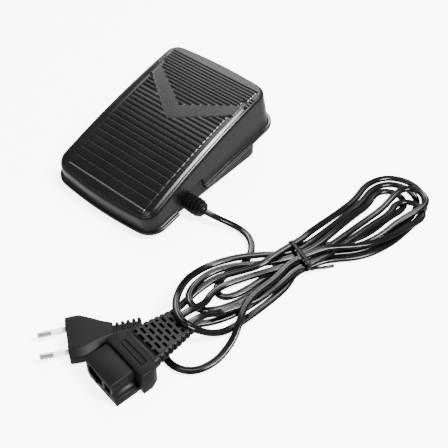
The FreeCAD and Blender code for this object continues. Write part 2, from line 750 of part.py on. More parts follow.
def place_connector(shape):
    placed = shape.copy()
    placed.Placement = Placement(Vector(*CONNECTOR_AT, 0), Rotation(Vector(0, 0, 1), CONNECTOR_TURN))
    return placed.copy()


def prism_y(points, y0, y1):
    """A prism along Y from a polygon of (x, z) points."""
    corners = [Vector(x, y0, z) for x, z in points]
    return Part.Face(Part.makePolygon(corners + corners[:1])).extrude(Vector(0, y1 - y0, 0))


def connector_boot():
    """The wide flat strain relief, tapering towards the leads."""
    sections = []
    root = (COLLAR_LENGTH - 1, BOOT_ROOT, BOOT_ROOT_TOP)
    tip = (BOOT_END, BOOT_TIP, BOOT_TIP_TOP)
    side = 2.4
    for y, (left, right), top in (root, tip):
        corners = [(left, BOOT_LOW + side), (left + side, BOOT_LOW), (right - side, BOOT_LOW),
                   (right, BOOT_LOW + side), (right, top - side), (right - side, top),
                   (left + side, top), (left, top - side)]
        points = [Vector(x, y, z) for x, z in corners]
        sections.append(Part.makePolygon(points + points[:1]))
    return Part.makeLoft(sections, True, True)


def boot_slots():
    """Staggered slots across the top and bottom of the boot."""
    cutters = []
    for row in range(7):
        y = COLLAR_LENGTH + 9.0 + 4.0 * row
        share = (y - COLLAR_LENGTH) / (BOOT_END - COLLAR_LENGTH)
        left = BOOT_ROOT[0] + share * (BOOT_TIP[0] - BOOT_ROOT[0]) + 3.4
        right = BOOT_ROOT[1] + share * (BOOT_TIP[1] - BOOT_ROOT[1]) - 3.4
        count = 3 if row % 2 else 4
        cell = (right - left) / 4
        for index in range(count):
            x = left + cell * (index + (0.5 if count == 4 else 1.0))
            for z in (BOOT_LOW - 0.5, BOOT_TIP_TOP - 1.0):
                cutters.append(box(x - 0.36 * cell, x + 0.36 * cell, y, y + 1.7, z, z + 2.2))
    return Part.makeCompound(cutters)


def contact_places():
    return [index * CONTACT_PITCH for index in (-1, 0, 1)]


def connector_body():
    flange = BLOCK_HALF + FLANGE_STEP
    section = [(-BLOCK_HALF + 2.2, 0), (flange, 0), (flange, FLANGE_HEIGHT), (BLOCK_HALF, FLANGE_HEIGHT),
               (BLOCK_HALF, BLOCK_HEIGHT - 1.5), (BLOCK_HALF - 1.5, BLOCK_HEIGHT),
               (-BLOCK_HALF + 1, BLOCK_HEIGHT), (-BLOCK_HALF, BLOCK_HEIGHT - 1), (-BLOCK_HALF, 5.0)]
    block = prism_y(section, -BLOCK_LENGTH, 1.0)
    groove = box(BLOCK_HALF - 1.2, BLOCK_HALF + 1, -BLOCK_LENGTH, -1.5, FLANGE_HEIGHT, FLANGE_HEIGHT + 4)
    collar = box(COLLAR[0], COLLAR[1], 0, COLLAR_LENGTH, 0, COLLAR_TOP)
    collar_edges = [edge for edge in collar.Edges if edge.BoundBox.ZMin > COLLAR_TOP - 0.01]
    collar = collar.makeFillet(1.5, collar_edges)
    body = block.cut(groove).fuse(collar).fuse(connector_boot().cut(boot_slots()))
    body = body.cut(box(-9, 14, 5.0, 9.4, COLLAR_TOP - 0.8, COLLAR_TOP + 1))
    for x in contact_places():
        mouth = Vector(x, -BLOCK_LENGTH - 1, CONTACT_Z)
        body = body.cut(cylinder(CONTACT_R, CONTACT_DEPTH + 1, mouth, Vector(0, 1, 0)))
        seat = Vector(x, CONTACT_START - BLOCK_LENGTH, CONTACT_Z)
        depth = CONTACT_DEPTH - CONTACT_START
        body = body.cut(cylinder(CONTACT_R + CONTACT_WALL, depth, seat, Vector(0, 1, 0)))
    return place_connector(body)


def connector_contacts():
    """Socket sleeves round the deeper part of the three bores."""
    sleeves = []
    length = CONTACT_DEPTH - CONTACT_START
    for x in contact_places():
        seat = Vector(x, CONTACT_START - BLOCK_LENGTH, CONTACT_Z)
        sleeve = cylinder(CONTACT_R + CONTACT_WALL, length, seat, Vector(0, 1, 0))
        sleeves.append(sleeve.cut(cylinder(CONTACT_R, length, seat, Vector(0, 1, 0))))
    return place_connector(Part.makeCompound(sleeves))


def boot_exit(across, height):
    """World place of a lead's exit in the boot's end face."""
    turn = math.radians(CONNECTOR_TURN)
    x = CONNECTOR_AT[0] + across * math.cos(turn) - BOOT_END * math.sin(turn)
    y = CONNECTOR_AT[1] + across * math.sin(turn) + BOOT_END * math.cos(turn)
    return (x, y, height)


def plug_exit():
    turn = math.radians(PLUG_TURN)
    x = PLUG_FACE[0] - PLUG_END * math.sin(turn)
    y = PLUG_FACE[1] + PLUG_END * math.cos(turn)
    return (x, y, PLUG_THICK / 2)


EXIT_Z = 14.2
LEAD_A_ACROSS = -3.4
LEAD_B_ACROSS = 4.8
CONNECTOR_LEADS = {
    "connector_lead_a": [boot_exit(LEAD_A_ACROSS, EXIT_Z), (122.2, -110.7, 13.8), (123.8, -102.4, 11.6),
                         (125.9, -94.6, 6.4)],
    "connector_lead_b": [boot_exit(LEAD_B_ACROSS, EXIT_Z), (130.6, -111.8, 13.8), (132.4, -103.4, 11.6),
                         (134.9, -95.7, 6.4)],
}
PLUG_LEAD = [plug_exit(), (111.2, -130.0, 6.9), (118.6, -122.6, 6.4), (124.8, -115.0, 4.6)]

NODES = {
    "pedal_cover": cover_shell,
    "cover_fittings": cover_fittings,
    "base_tray": base_tray,
    "tray_fittings": tray_fittings,
    "rubber_feet": rubber_feet,
    "hinge_rod": hinge_rod,
    "rod_caps": rod_caps,
    "return_spring_left": lambda: return_spring(-1),
    "return_spring_right": lambda: return_spring(1),
    "bump_stops": bump_stops,
    "circuit_board": circuit_board,
    "board_screws": board_screws,
    "slide_resistor_body": slide_resistor_body,
    "wiper_plunger": wiper_plunger,
    "triac": triac,
    "heat_sink": heat_sink,
    "film_capacitor": film_capacitor,
    "choke_core": choke_core,
    "choke_winding": choke_winding,
    "resistors": resistors,
    "diac": diac,
    "fuse_glass": fuse_glass,
    "fuse_caps": fuse_caps,
    "fuse_clips": fuse_clips,
    "terminal_block": terminal_block,
    "terminal_screws": terminal_screws,
    "flex_tail": flex_tail,
    "cord_clamp": cord_clamp,
    "clamp_screws": clamp_screws,
    "cord_strain_relief": cord_strain_relief,
    "cord_hank": cord_hank,
    "cord_tie": cord_tie,
    "mains_plug_body": plug_body,
    "plug_pins": plug_pins,
    "plug_pin_sleeves": plug_pin_sleeves,
    "connector_body": connector_body,
    "connector_contacts": connector_contacts,
}

for node, make in NODES.items():
    save(make(), node)
for node, route in WIRES.items():
    save(tube(route, WIRE_DIA, node), node)
save(tube(PEDAL_LEAD, FLEX_DIA, "pedal_lead"), "pedal_lead")
save(tube(LOOSE_TURN, FLEX_DIA, "loose_turn"), "loose_turn")
save(tube(PLUG_LEAD, FLEX_DIA, "plug_lead"), "plug_lead")
for node, route in CONNECTOR_LEADS.items():
    save(tube(route, FLEX_DIA, node), node)
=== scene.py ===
import bpy
import bmesh
import json
import math
import numpy as np
from mathutils import Matrix, Vector, noise


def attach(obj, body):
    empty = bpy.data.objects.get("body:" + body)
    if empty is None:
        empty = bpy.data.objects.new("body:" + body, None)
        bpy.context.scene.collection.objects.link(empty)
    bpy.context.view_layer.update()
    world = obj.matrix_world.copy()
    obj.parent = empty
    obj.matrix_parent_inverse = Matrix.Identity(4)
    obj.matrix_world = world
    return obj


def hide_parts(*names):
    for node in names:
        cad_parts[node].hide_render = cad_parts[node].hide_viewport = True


# Looks of the sewing machine foot control around its CAD frame.
# Lengths are millimetres unless they come from the frame; MM turns them into metres.
# Lights, the room and the floor are in metres.

MM = 0.001

# --- camera first ---
CAMERA_AT = Vector((346.7, -350.3, 438.4)) * MM
CAMERA_AZIMUTH = math.radians(39.25)
CAMERA_ELEVATION = math.radians(46.03)
CAMERA_ROLL = math.radians(1.28)
CAMERA_LENS = 63.4


def make_camera():
    """A camera turned about its own axes: azimuth, elevation and a slight roll."""
    back = Vector((math.sin(CAMERA_AZIMUTH) * math.cos(CAMERA_ELEVATION),
                   -math.cos(CAMERA_AZIMUTH) * math.cos(CAMERA_ELEVATION),
                   math.sin(CAMERA_ELEVATION)))
    level = Vector((math.cos(CAMERA_AZIMUTH), math.sin(CAMERA_AZIMUTH), 0))
    upright = back.cross(level)
    right = level * math.cos(CAMERA_ROLL) + upright * math.sin(CAMERA_ROLL)
    up = back.cross(right)
    data = bpy.data.cameras.new("camera")
    data.lens = CAMERA_LENS
    data.sensor_width = 36.0
    data.clip_start = 0.01
    data.clip_end = 20.0
    camera = bpy.data.objects.new("camera", data)
    turn = Matrix((right, up, back)).transposed().to_4x4()
    camera.matrix_world = Matrix.Translation(CAMERA_AT) @ turn
    bpy.context.scene.collection.objects.link(camera)
    bpy.context.scene.camera = camera


make_camera()
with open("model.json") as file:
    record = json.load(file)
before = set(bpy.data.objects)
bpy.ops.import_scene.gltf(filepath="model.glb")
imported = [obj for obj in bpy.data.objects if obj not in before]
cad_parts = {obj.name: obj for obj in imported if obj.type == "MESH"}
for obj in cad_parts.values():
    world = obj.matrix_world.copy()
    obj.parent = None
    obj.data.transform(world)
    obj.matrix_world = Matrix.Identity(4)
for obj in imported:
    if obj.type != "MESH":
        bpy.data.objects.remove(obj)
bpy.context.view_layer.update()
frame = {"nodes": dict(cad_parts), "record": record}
nodes = frame["nodes"]


# --- materials ---
def material(name, colour, rough, metal=0.0, specular=0.5, grain=0.0, grain_scale=900.0, wave=0.0,
             wave_scale=120.0, rough_spread=0.06, transmission=0.0, tint_spread=0.12):
    """A procedural surface: colour and roughness vary a little, and two noises make the relief."""
    mat = bpy.data.materials.new(name)
    mat.use_nodes = True
    tree = mat.node_tree
    links = tree.links
    shader = tree.nodes["Principled BSDF"]
    shader.inputs["Metallic"].default_value = metal
    shader.inputs["Specular IOR Level"].default_value = specular
    shader.inputs["Transmission Weight"].default_value = transmission
    place = tree.nodes.new("ShaderNodeTexCoord")
    patches = tree.nodes.new("ShaderNodeTexNoise")
    patches.inputs["Scale"].default_value = 38.0
    patches.inputs["Detail"].default_value = 5.0
    links.new(place.outputs["Object"], patches.inputs["Vector"])
    tint = tree.nodes.new("ShaderNodeMapRange")
    tint.inputs["To Min"].default_value = 1.0 - tint_spread
    tint.inputs["To Max"].default_value = 1.0 + tint_spread
    links.new(patches.outputs["Fac"], tint.inputs["Value"])
    shade = tree.nodes.new("ShaderNodeVectorMath")
    shade.operation = "SCALE"
    shade.inputs[0].default_value = colour
    links.new(tint.outputs["Result"], shade.inputs["Scale"])
    links.new(shade.outputs["Vector"], shader.inputs["Base Color"])
    dull = tree.nodes.new("ShaderNodeMapRange")
    dull.inputs["From Min"].default_value = 0.3
    dull.inputs["From Max"].default_value = 0.7
    dull.inputs["To Min"].default_value = max(0.02, rough - rough_spread)
    dull.inputs["To Max"].default_value = min(1.0, rough + rough_spread)
    links.new(patches.outputs["Fac"], dull.inputs["Value"])
    links.new(dull.outputs["Result"], shader.inputs["Roughness"])
    bump_before = None
    for relief, scale, detail in ((wave, wave_scale, 2.0), (grain, grain_scale, 3.0)):
        if relief <= 0:
            continue
        relief_noise = tree.nodes.new("ShaderNodeTexNoise")
        relief_noise.inputs["Scale"].default_value = scale
        relief_noise.inputs["Detail"].default_value = detail
        links.new(place.outputs["Object"], relief_noise.inputs["Vector"])
        bump = tree.nodes.new("ShaderNodeBump")
        bump.inputs["Strength"].default_value = 1.0
        bump.inputs["Distance"].default_value = relief * MM
        links.new(relief_noise.outputs["Fac"], bump.inputs["Height"])
        if bump_before is not None:
            links.new(bump_before.outputs["Normal"], bump.inputs["Normal"])
        bump_before = bump
    if bump_before is not None:
        links.new(bump_before.outputs["Normal"], shader.inputs["Normal"])
    return mat


MATERIALS = {
    "cover_gloss": material("cover_gloss", (0.0014, 0.0014, 0.0015), 0.24, specular=0.25, grain=0.002,
                            grain_scale=1500, wave=0.004, wave_scale=110),
    "base_plastic": material("base_plastic", (0.003, 0.003, 0.0031), 0.4, specular=0.12, grain=0.004),
    "rubber_black": material("rubber_black", (0.02, 0.02, 0.02), 0.75, grain=0.03),
    "steel": material("steel", (0.56, 0.56, 0.58), 0.32, metal=1.0, grain=0.004),
    "spring_steel": material("spring_steel", (0.42, 0.42, 0.44), 0.28, metal=1.0, grain=0.003),
    "board": material("board", (0.32, 0.2, 0.08), 0.5, grain=0.006),
    "component_dark": material("component_dark", (0.03, 0.03, 0.035), 0.45, grain=0.008),
    "plunger_white": material("plunger_white", (0.78, 0.78, 0.75), 0.4, grain=0.004),
    "aluminium_raw": material("aluminium_raw", (0.68, 0.69, 0.71), 0.35, metal=1.0, grain=0.006),
    "component_yellow": material("component_yellow", (0.72, 0.5, 0.07), 0.3, grain=0.003),
    "ferrite": material("ferrite", (0.06, 0.06, 0.065), 0.55, grain=0.01),
    "copper": material("copper", (0.7, 0.33, 0.15), 0.3, metal=1.0, grain=0.01, grain_scale=1800),
    "resistor_tan": material("resistor_tan", (0.68, 0.53, 0.36), 0.4, grain=0.003),
    "fuse_glass": material("fuse_glass", (0.9, 0.95, 0.95), 0.04, transmission=0.9, rough_spread=0.01),
    "brass_clip": material("brass_clip", (0.75, 0.58, 0.28), 0.28, metal=1.0, grain=0.003),
    "terminal_green": material("terminal_green", (0.05, 0.28, 0.11), 0.45, grain=0.006),
    "flex_black": material("flex_black", (0.0014, 0.0014, 0.0015), 0.15, specular=0.17, wave=0.015,
                           wave_scale=90, grain=0.002, rough_spread=0.05),
    "boot_pvc": material("boot_pvc", (0.0018, 0.0018, 0.0019), 0.4, specular=0.11, grain=0.005),
    "tie_black": material("tie_black", (0.003, 0.003, 0.0032), 0.36, specular=0.15, grain=0.008),
    "plug_pvc": material("plug_pvc", (0.0032, 0.0032, 0.0033), 0.46, specular=0.07, grain=0.008,
                         grain_scale=1300),
    "nickel": material("nickel", (0.74, 0.71, 0.66), 0.2, metal=1.0, grain=0.002),
    "sleeve_white": material("sleeve_white", (0.72, 0.7, 0.69), 0.38, grain=0.003),
    "wire_brown": material("wire_brown", (0.22, 0.09, 0.04), 0.32, grain=0.003),
    "wire_blue": material("wire_blue", (0.05, 0.13, 0.45), 0.32, grain=0.003),
}
TREAD_GRAIN = material("tread_grain", (0.0025, 0.0025, 0.0026), 0.34, specular=0.19, grain=0.1,
                       grain_scale=620, rough_spread=0.05)

for part in frame["record"]["subparts"]:
    node = nodes[part["node"]]
    node.data.materials.clear()
    node.data.materials.append(MATERIALS[part["material_slot"]])


# --- mesh helpers ---
def add_mesh(name, verts, faces, slot, body="base", smooth=True, extra=()):
    """A new mesh object from millimetre points, riding on a CAD body."""
    mesh = bpy.data.meshes.new(name)
    mesh.from_pydata([tuple(v) for v in np.asarray(verts, float) * MM], [], faces)
    mesh.validate()
    mesh.update()
    obj = bpy.data.objects.new(name, mesh)
    bpy.context.scene.collection.objects.link(obj)
    mesh.materials.append(MATERIALS[slot])
    for other in extra:
        mesh.materials.append(other)
    if smooth:
        mesh.polygons.foreach_set("use_smooth", [True] * len(mesh.polygons))
    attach(obj, body)
    return obj


def settle(obj):
    """Applies an object's modifiers to its mesh."""
    graph = bpy.context.evaluated_depsgraph_get()
    baked = bpy.data.meshes.new_from_object(obj.evaluated_get(graph))
    obj.modifiers.clear()
    obj.data = baked
    return obj


def soften(obj, width, segments=3, angle=30.0):
    """Rounds an object's edges and keeps its flats flat."""
    bevel = obj.modifiers.new("bevel", "BEVEL")
    bevel.width = width * MM
    bevel.segments = segments
    bevel.limit_method = "ANGLE"
    bevel.angle_limit = math.radians(angle)
    bevel.harden_normals = True
    return settle(obj)


def loft(sections):
    """Points and faces of a closed skin through equal-length rings."""
    count = len(sections[0])
    verts = [point for ring in sections for point in ring]
    faces = []
    for level in range(len(sections) - 1):
        for i in range(count):
            j = (i + 1) % count
            a = level * count
            b = a + count
            faces.append((a + i, a + j, b + j, b + i))
    faces.append(tuple(reversed(range(count))))
    last = (len(sections) - 1) * count
    faces.append(tuple(last + i for i in range(count)))
    return verts, faces


def fix_normals(obj):
    """Turns every face of a closed mesh outwards."""
    work = bmesh.new()
    work.from_mesh(obj.data)
    bmesh.ops.recalc_face_normals(work, faces=work.faces)
    work.to_mesh(obj.data)
    work.free()
    return obj


BOX_FACES = ((0, 1, 3, 2), (4, 6, 7, 5), (0, 4, 5, 1), (2, 3, 7, 6), (0, 2, 6, 4), (1, 5, 7, 3))


def box_corners(x_range, y_range, z_range, place):
    return [place((x, y, z)) for x in x_range for y in y_range for z in z_range]


def block(name, low, high, slot, place, width=0.5, segments=3, body="base"):
    """A rounded box between two corners in a placed frame."""
    obj = add_mesh(name, box_corners(*zip(low, high), place), BOX_FACES, slot, body)
    return soften(fix_normals(obj), width, segments)


def placer(origin, turn_deg):
    """A function that moves and turns local points about the vertical."""
    turn = math.radians(turn_deg)

    def place(point):
        x, y, z = point
        return (origin[0] + x * math.cos(turn) - y * math.sin(turn),
                origin[1] + x * math.sin(turn) + y * math.cos(turn), origin[2] + z)
    return place


def carve(obj, cutter):
    """Cuts one mesh out of another and throws the cutter away."""
    cut = obj.modifiers.new("cut", "BOOLEAN")
    cut.object = cutter
    cut.solver = "EXACT"
    cut.use_self = True
    settle(obj)
    bpy.data.objects.remove(cutter)
    return obj


def crease(obj, angle=32.0):
    """Smooth shading that keeps edges sharper than the angle."""
    obj.data.polygons.foreach_set("use_smooth", [True] * len(obj.data.polygons))
    obj.data.set_sharp_from_angle(angle=math.radians(angle))
    return obj


def prism(name, section, start, end, slot, place, width, segments=3, body="base"):
    """A rounded bar along local Y from a polygon of (x, z) points."""
    rings = [[place((x, y, z)) for x, z in section] for y in (start, end)]
    verts, faces = loft(rings)
    return soften(fix_normals(add_mesh(name, verts, faces, slot, body)), width, segments)


def cutter_boxes(boxes, place, round_width=0.0):
    """One loose mesh of boxes, each (x0, x1, y0, y1, z0, z1), used only for carving."""
    verts = []
    faces = []
    for x0, x1, y0, y1, z0, z1 in boxes:
        base = len(verts)
        verts += box_corners((x0, x1), (y0, y1), (z0, z1), place)
        faces += [tuple(base + i for i in face) for face in BOX_FACES]
    obj = fix_normals(add_mesh("cutter", verts, faces, "boot_pvc"))
    if round_width:
        soften(obj, round_width, 3)
    return obj


def turned(name, profile, place, slot, count=72, body="base"):
    """A surface of revolution about local X from (x, radius) points."""
    rings = []
    for x, radius in profile:
        ring = []
        for i in range(count):
            angle = 2 * math.pi * i / count
            ring.append(place((x, radius * math.cos(angle), radius * math.sin(angle))))
        rings.append(ring)
    verts, faces = loft(rings)
    return crease(fix_normals(add_mesh(name, verts, faces, slot, body)), 40)


# --- pedal cover ---
# The cover is drawn level, with its length along Y; place_cover tilts it onto the base.
LIP_HALF, LIP_FRONT, LIP_REAR, LIP_CORNER = 54.0, -80.0, 79.0, 16.0
FRONT_BOW, REAR_BOW = math.radians(6.5), math.radians(5.0)
LIP_PROUD, WALL, DRAFT, SHOULDER = 2.6, 2.4, 0.064, 3.5
COVER_TILT = math.radians(9.2)
SKIN = 1.1
RIM_ANGLE = math.radians(62.8)
# The looks' cover is 3 mm wider than the CAD cover, all of it on the left.
WIDEN = 55.5 / 54.0
COVER_AT = (-1.5, 0.73, 16.5)
TOP_REACH = 72.0
HEEL_HEIGHT, TOE_RISE, CROWN = 17.3, 18.5, 4.0
DRAFT_LEVEL = 20
WALL_FOOT = 3.6
LEAD_WINDOW = (40, 60, -46, -14, -2, 11.5)
LIP_EDGE = ((1.0, 0.0), (0.35, 0.12), (0.08, 0.5), (0.0, 1.0), (0.0, 2.0), (0.08, 2.5),
            (0.35, 2.88), (1.0, 3.0), (2.0, 3.02), (2.4, 3.1), (2.62, 3.3))


def top_height(y):
    """Height of the crowned top above the lip's foot, from heel to toe."""
    return HEEL_HEIGHT + (y + TOP_REACH) / (2 * TOP_REACH) * TOE_RISE + CROWN * (1.0 - (y / TOP_REACH) ** 2)


def pocket_floor(y):
    """Height of the shell under the tread skin."""
    return top_height(y) - SKIN - 0.4


def place_cover(point):
    x, y, h = point
    return (x * WIDEN + COVER_AT[0],
            COVER_AT[1] + y * math.cos(COVER_TILT) - h * math.sin(COVER_TILT),
            COVER_AT[2] + y * math.sin(COVER_TILT) + h * math.cos(COVER_TILT))


def cover_outline(inset):
    """The lip's outline in plan, moved inwards: straight sides, bowed ends, round corners."""
    half = LIP_HALF - inset
    front = LIP_FRONT + inset
    rear = LIP_REAR - inset
    corner = max(LIP_CORNER - inset, 0.6)
    middle = half - corner
    front_r = middle / math.sin(FRONT_BOW) + corner
    rear_r = middle / math.sin(REAR_BOW) + corner
    front_y = front + front_r - (front_r - corner) * math.cos(FRONT_BOW)
    rear_y = rear - rear_r + (rear_r - corner) * math.cos(REAR_BOW)
    points = []

    def arc(centre, radius, start, end, count):
        for i in range(count):
            angle = start + (end - start) * i / count
            points.append((centre[0] + radius * math.cos(angle), centre[1] + radius * math.sin(angle)))

    def line(first, last, count):
        for i in range(count):
            share = i / count
            points.append((first[0] + (last[0] - first[0]) * share, first[1] + (last[1] - first[1]) * share))

    quarter = math.pi / 2
    line((half, front_y), (half, rear_y), 56)
    arc((middle, rear_y), corner, 0, quarter - REAR_BOW, 16)
    arc((0, rear - rear_r), rear_r, quarter - REAR_BOW, quarter + REAR_BOW, 40)
    arc((-middle, rear_y), corner, quarter + REAR_BOW, 2 * quarter, 16)
    line((-half, rear_y), (-half, front_y), 56)
    arc((-middle, front_y), corner, 2 * quarter, 3 * quarter - FRONT_BOW, 16)
    arc((0, front + front_r), front_r, 3 * quarter - FRONT_BOW, 3 * quarter + FRONT_BOW, 40)
    arc((middle, front_y), corner, 3 * quarter + FRONT_BOW, 4 * quarter, 16)
    return points


def level_ring(inset, height):
    """The outline moved inwards, at one height."""
    return [(x, y, height) for x, y in cover_outline(inset)]


def wall_ring(share, extra=0.0, drop=0.0):
    """A ring on the drafted wall, at a share of the way from the lip to where the shoulder begins."""
    ring = []
    for x, y in cover_outline(LIP_PROUD + extra + DRAFT * DRAFT_LEVEL):
        height = WALL_FOOT + share * (top_height(y) - drop - WALL_FOOT)
        near = cover_outline_point(x, y, DRAFT * (height - DRAFT_LEVEL))
        ring.append((near[0], near[1], height))
    return ring


def cover_outline_point(x, y, step):
    """Moves an outline point inwards by a small step, along its own outward direction."""
    middle = LIP_HALF - LIP_CORNER
    low = LIP_FRONT + LIP_CORNER
    high = LIP_REAR - LIP_CORNER
    out = Vector((x - max(-middle, min(middle, x)), y - max(low, min(high, y))))
    out.normalize()
    return (x - out.x * step, y - out.y * step)


def cover_shell():
    """The moulded cover: inside, lip, drafted wall, rounded shoulder and the pocket under the tread."""
    rings = [level_ring(LIP_PROUD + WALL, 0.0)]
    rings += [level_ring(inset, height) for inset, height in LIP_EDGE]
    for share in (0.0, 0.33, 0.66, 1.0):
        rings.append(wall_ring(share, 0.0, SHOULDER))
    shoulder_base = rings[-1]
    for step in range(1, 9):
        angle = RIM_ANGLE * step / 8
        inward = SHOULDER * (1 - math.cos(angle))
        ring = []
        for x, y, height in shoulder_base:
            near = cover_outline_point(x, y, inward)
            ring.append((near[0], near[1], top_height(y) - SHOULDER + SHOULDER * math.sin(angle)))
        rings.append(ring)
    edge = rings[-1]
    rings.append([(*cover_outline_point(x, y, 0.14), h - 0.03) for x, y, h in edge])
    rings.append([(*cover_outline_point(x, y, 0.28), h - 0.22) for x, y, h in edge])
    rings.append([(*cover_outline_point(x, y, 0.3), pocket_floor(y)) for x, y, h in edge])
    for share in (0.9, 0.75, 0.55, 0.35, 0.15, 0.04):
        rings.append([(x * share, y * share, pocket_floor(y * share)) for x, y, h in edge])
    inside = [level_ring(LIP_PROUD + WALL, 0.0)]
    for share in (0.25, 0.5, 0.75, 1.0):
        inside.append(wall_ring(share, WALL, WALL))
    for share in (0.9, 0.6, 0.3, 0.04):
        inside.append([(x * share, y * share, top_height(y * share) - WALL - 0.2) for x, y, h in inside[4]])
    rings = inside[::-1][:-1] + rings
    verts, faces = loft([[place_cover(point) for point in ring] for ring in rings])
    shell = fix_normals(add_mesh("pedal_cover_shell", verts, faces, "cover_gloss", "cover"))
    carve(shell, cutter_boxes([LEAD_WINDOW], place_cover, 2.5))
    crease(shell, 38)
    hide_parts("pedal_cover")


# --- tread ---
# One skin of columns along X and rows along Y; heights are above the grooves' floor.
SLAT_HALF, TOE_SLAT_HALF = 40.6, 43.6
SKIN_HALF = 48.6
SKIN_FRONT, SKIN_REAR = -74.6, 72.6
SKIN_LIFT = 0.14
RIM_FRONT, RIM_REAR, RIM_CORNER = -74.35, 72.1, 9.8
RIM_HALF_AT_LIP, RIM_INSET = 51.4, 1.9
FRONT_BOW_SPAN, REAR_BOW_SPAN = 692.0, 890.0
SLAT_HEIGHT, SLAT_LEAN = 0.48, 0.16
# The V-shaped band's edges: a place on the centre line and a slope.
VEE_FRONT, VEE_REAR = (4.0, 0.715), (20.0, 0.626)
VEE_HALF = 43
# Slats get narrower from the heel to PITCH_CHANGE, then more slowly to FINE_FROM.
FIRST_EDGES = (-76.0, -66.4)
PITCH_CHANGE, FINE_FROM, LAST_EDGE = -15.0, 46.0, 63.6
BAND_HEIGHT, BAND_SOFT = 0.56, 0.35
PLAIN_HEIGHT = 0.9
STRIP_HEIGHT = 1.25
BEAD_FROM, BEAD_TO, BEAD_REACH, BEAD_PITCH, BEAD_HEIGHT = 46.0, 55.5, 44.0, 2.9, 1.05
FALL_WIDTH = 0.36
FALL_STEPS = (1.0, 0.8, 0.6, 0.4, 0.2)
HEEL_ROWS, HEEL_ROW_STEP = 32, 0.2


def slat_edges():
    """Edges of the tread's slats from heel to toe, closer towards the toe."""
    edges = list(FIRST_EDGES)
    while edges[-1] < FINE_FROM:
        y = edges[-1]
        if y < PITCH_CHANGE:
            edges.append(y + (8.4 - 0.0567 * (y + 75.0)))
        else:
            edges.append(y + (5.0 - 0.0367 * (y - PITCH_CHANGE)))
    while edges[-1] < LAST_EDGE:
        edges.append(edges[-1] + BEAD_PITCH)
    return edges


EDGES = slat_edges()


def ramp(value, start, end):
    """0 before the start, 1 past the end and a straight line between."""
    return max(0.0, min(1.0, (value - start) / (end - start)))


def soft_step(value, start, end):
    """A ramp with rounded ends."""
    share = ramp(value, start, end)
    return share * share * (3 - 2 * share)


def band_limits(x):
    """Lower and upper edges of the plain V-shaped band at a distance from the centre line."""
    return tuple(start + slope * abs(x) for start, slope in (VEE_FRONT, VEE_REAR))


def rim_middle(x, y):
    """Centres of the rim outline's rounded corners nearest to a point, and the bowed ends' limits."""
    half = RIM_HALF_AT_LIP - DRAFT * top_height(y) - RIM_INSET
    across = min(abs(x), half - RIM_CORNER)
    low = RIM_FRONT + across ** 2 / FRONT_BOW_SPAN + RIM_CORNER
    high = RIM_REAR - across ** 2 / REAR_BOW_SPAN - RIM_CORNER
    return half - RIM_CORNER, low, high


def rim_distance(x, y):
    """How far a point is inside the rim's outline, in millimetres."""
    middle, low, high = rim_middle(x, y)
    dx = abs(x) - middle
    dy = max(low - y, y - high)
    if dx > 0 and dy > 0:
        return RIM_CORNER - math.hypot(dx, dy)
    return RIM_CORNER - max(dx, dy)


def slat_fall(low, high):
    """Width of the slope at a slat's rear edge."""
    return FALL_WIDTH * min(1.0, (high - low) / 5.0)


def slat_groove(low, high):
    """Width of the groove at a slat's front."""
    return min(0.95, 0.3 * (high - low))


def slat_height(y):
    """Height of a slat with a groove at its front and a raised rear edge."""
    for low, high in zip(EDGES, EDGES[1:]):
        if low <= y < high:
            groove = slat_groove(low, high)
            rise = soft_step(y - low, 0.2 * groove, groove)
            fall = 1.0 - soft_step(y - high, -slat_fall(low, high), 0.0)
            lean = SLAT_LEAN * (y - low) / (high - low) * min(1.0, (high - low) / 6.0)
            return (SLAT_HEIGHT + lean) * rise * fall
    return 0.0


def band_share(x, y):
    """1 on the plain V-shaped band and 0 off it, with soft edges."""
    low, high = band_limits(x)
    band = soft_step(y, low - BAND_SOFT, low + BAND_SOFT)
    band *= 1.0 - soft_step(y, high - BAND_SOFT, high + BAND_SOFT)
    return band * (1.0 - soft_step(abs(x), 42.6, 43.4))


def right_strip(x, y):
    """The raised strip between the slats' right ends and the rim."""
    inside = rim_distance(x, y)
    strip = soft_step(-inside, -3.1, -2.65) * (1.0 - ramp(-inside, -2.5, -0.75))
    return strip * (soft_step(x, 34.0, 36.0) * (1.0 - soft_step(y, 44.5, 46.0)) * soft_step(y, -74.0, -72.5))


def tread_height(x, y):
    """Height of the tread above its grooves' floor."""
    reach = abs(x)
    half = TOE_SLAT_HALF if 50.5 < y < EDGES[-1] else SLAT_HALF
    slats = slat_height(y) * (1.0 - ramp(reach, half - 0.8, half)) * soft_step(rim_distance(x, y), 0.95, 1.5)
    band = band_share(x, y)
    height = max(slats * (1.0 - band), BAND_HEIGHT * band, STRIP_HEIGHT * right_strip(x, y),
                 PLAIN_HEIGHT * soft_step(-x, 41.5, 47.5))
    if BEAD_FROM < y < BEAD_TO and reach > BEAD_REACH:
        bead = 0.5 - 0.5 * math.cos(2 * math.pi * (y - BEAD_FROM) / BEAD_PITCH)
        height = max(height, BEAD_HEIGHT * bead * soft_step(reach, 44.2, 44.8))
    plain = soft_step(y, EDGES[-1] + 0.2, EDGES[-1] + 0.8)
    plain = max(plain, soft_step(y, 55.2, 56.0) * soft_step(reach, 43.9, 44.5))
    return max(height, PLAIN_HEIGHT * plain)


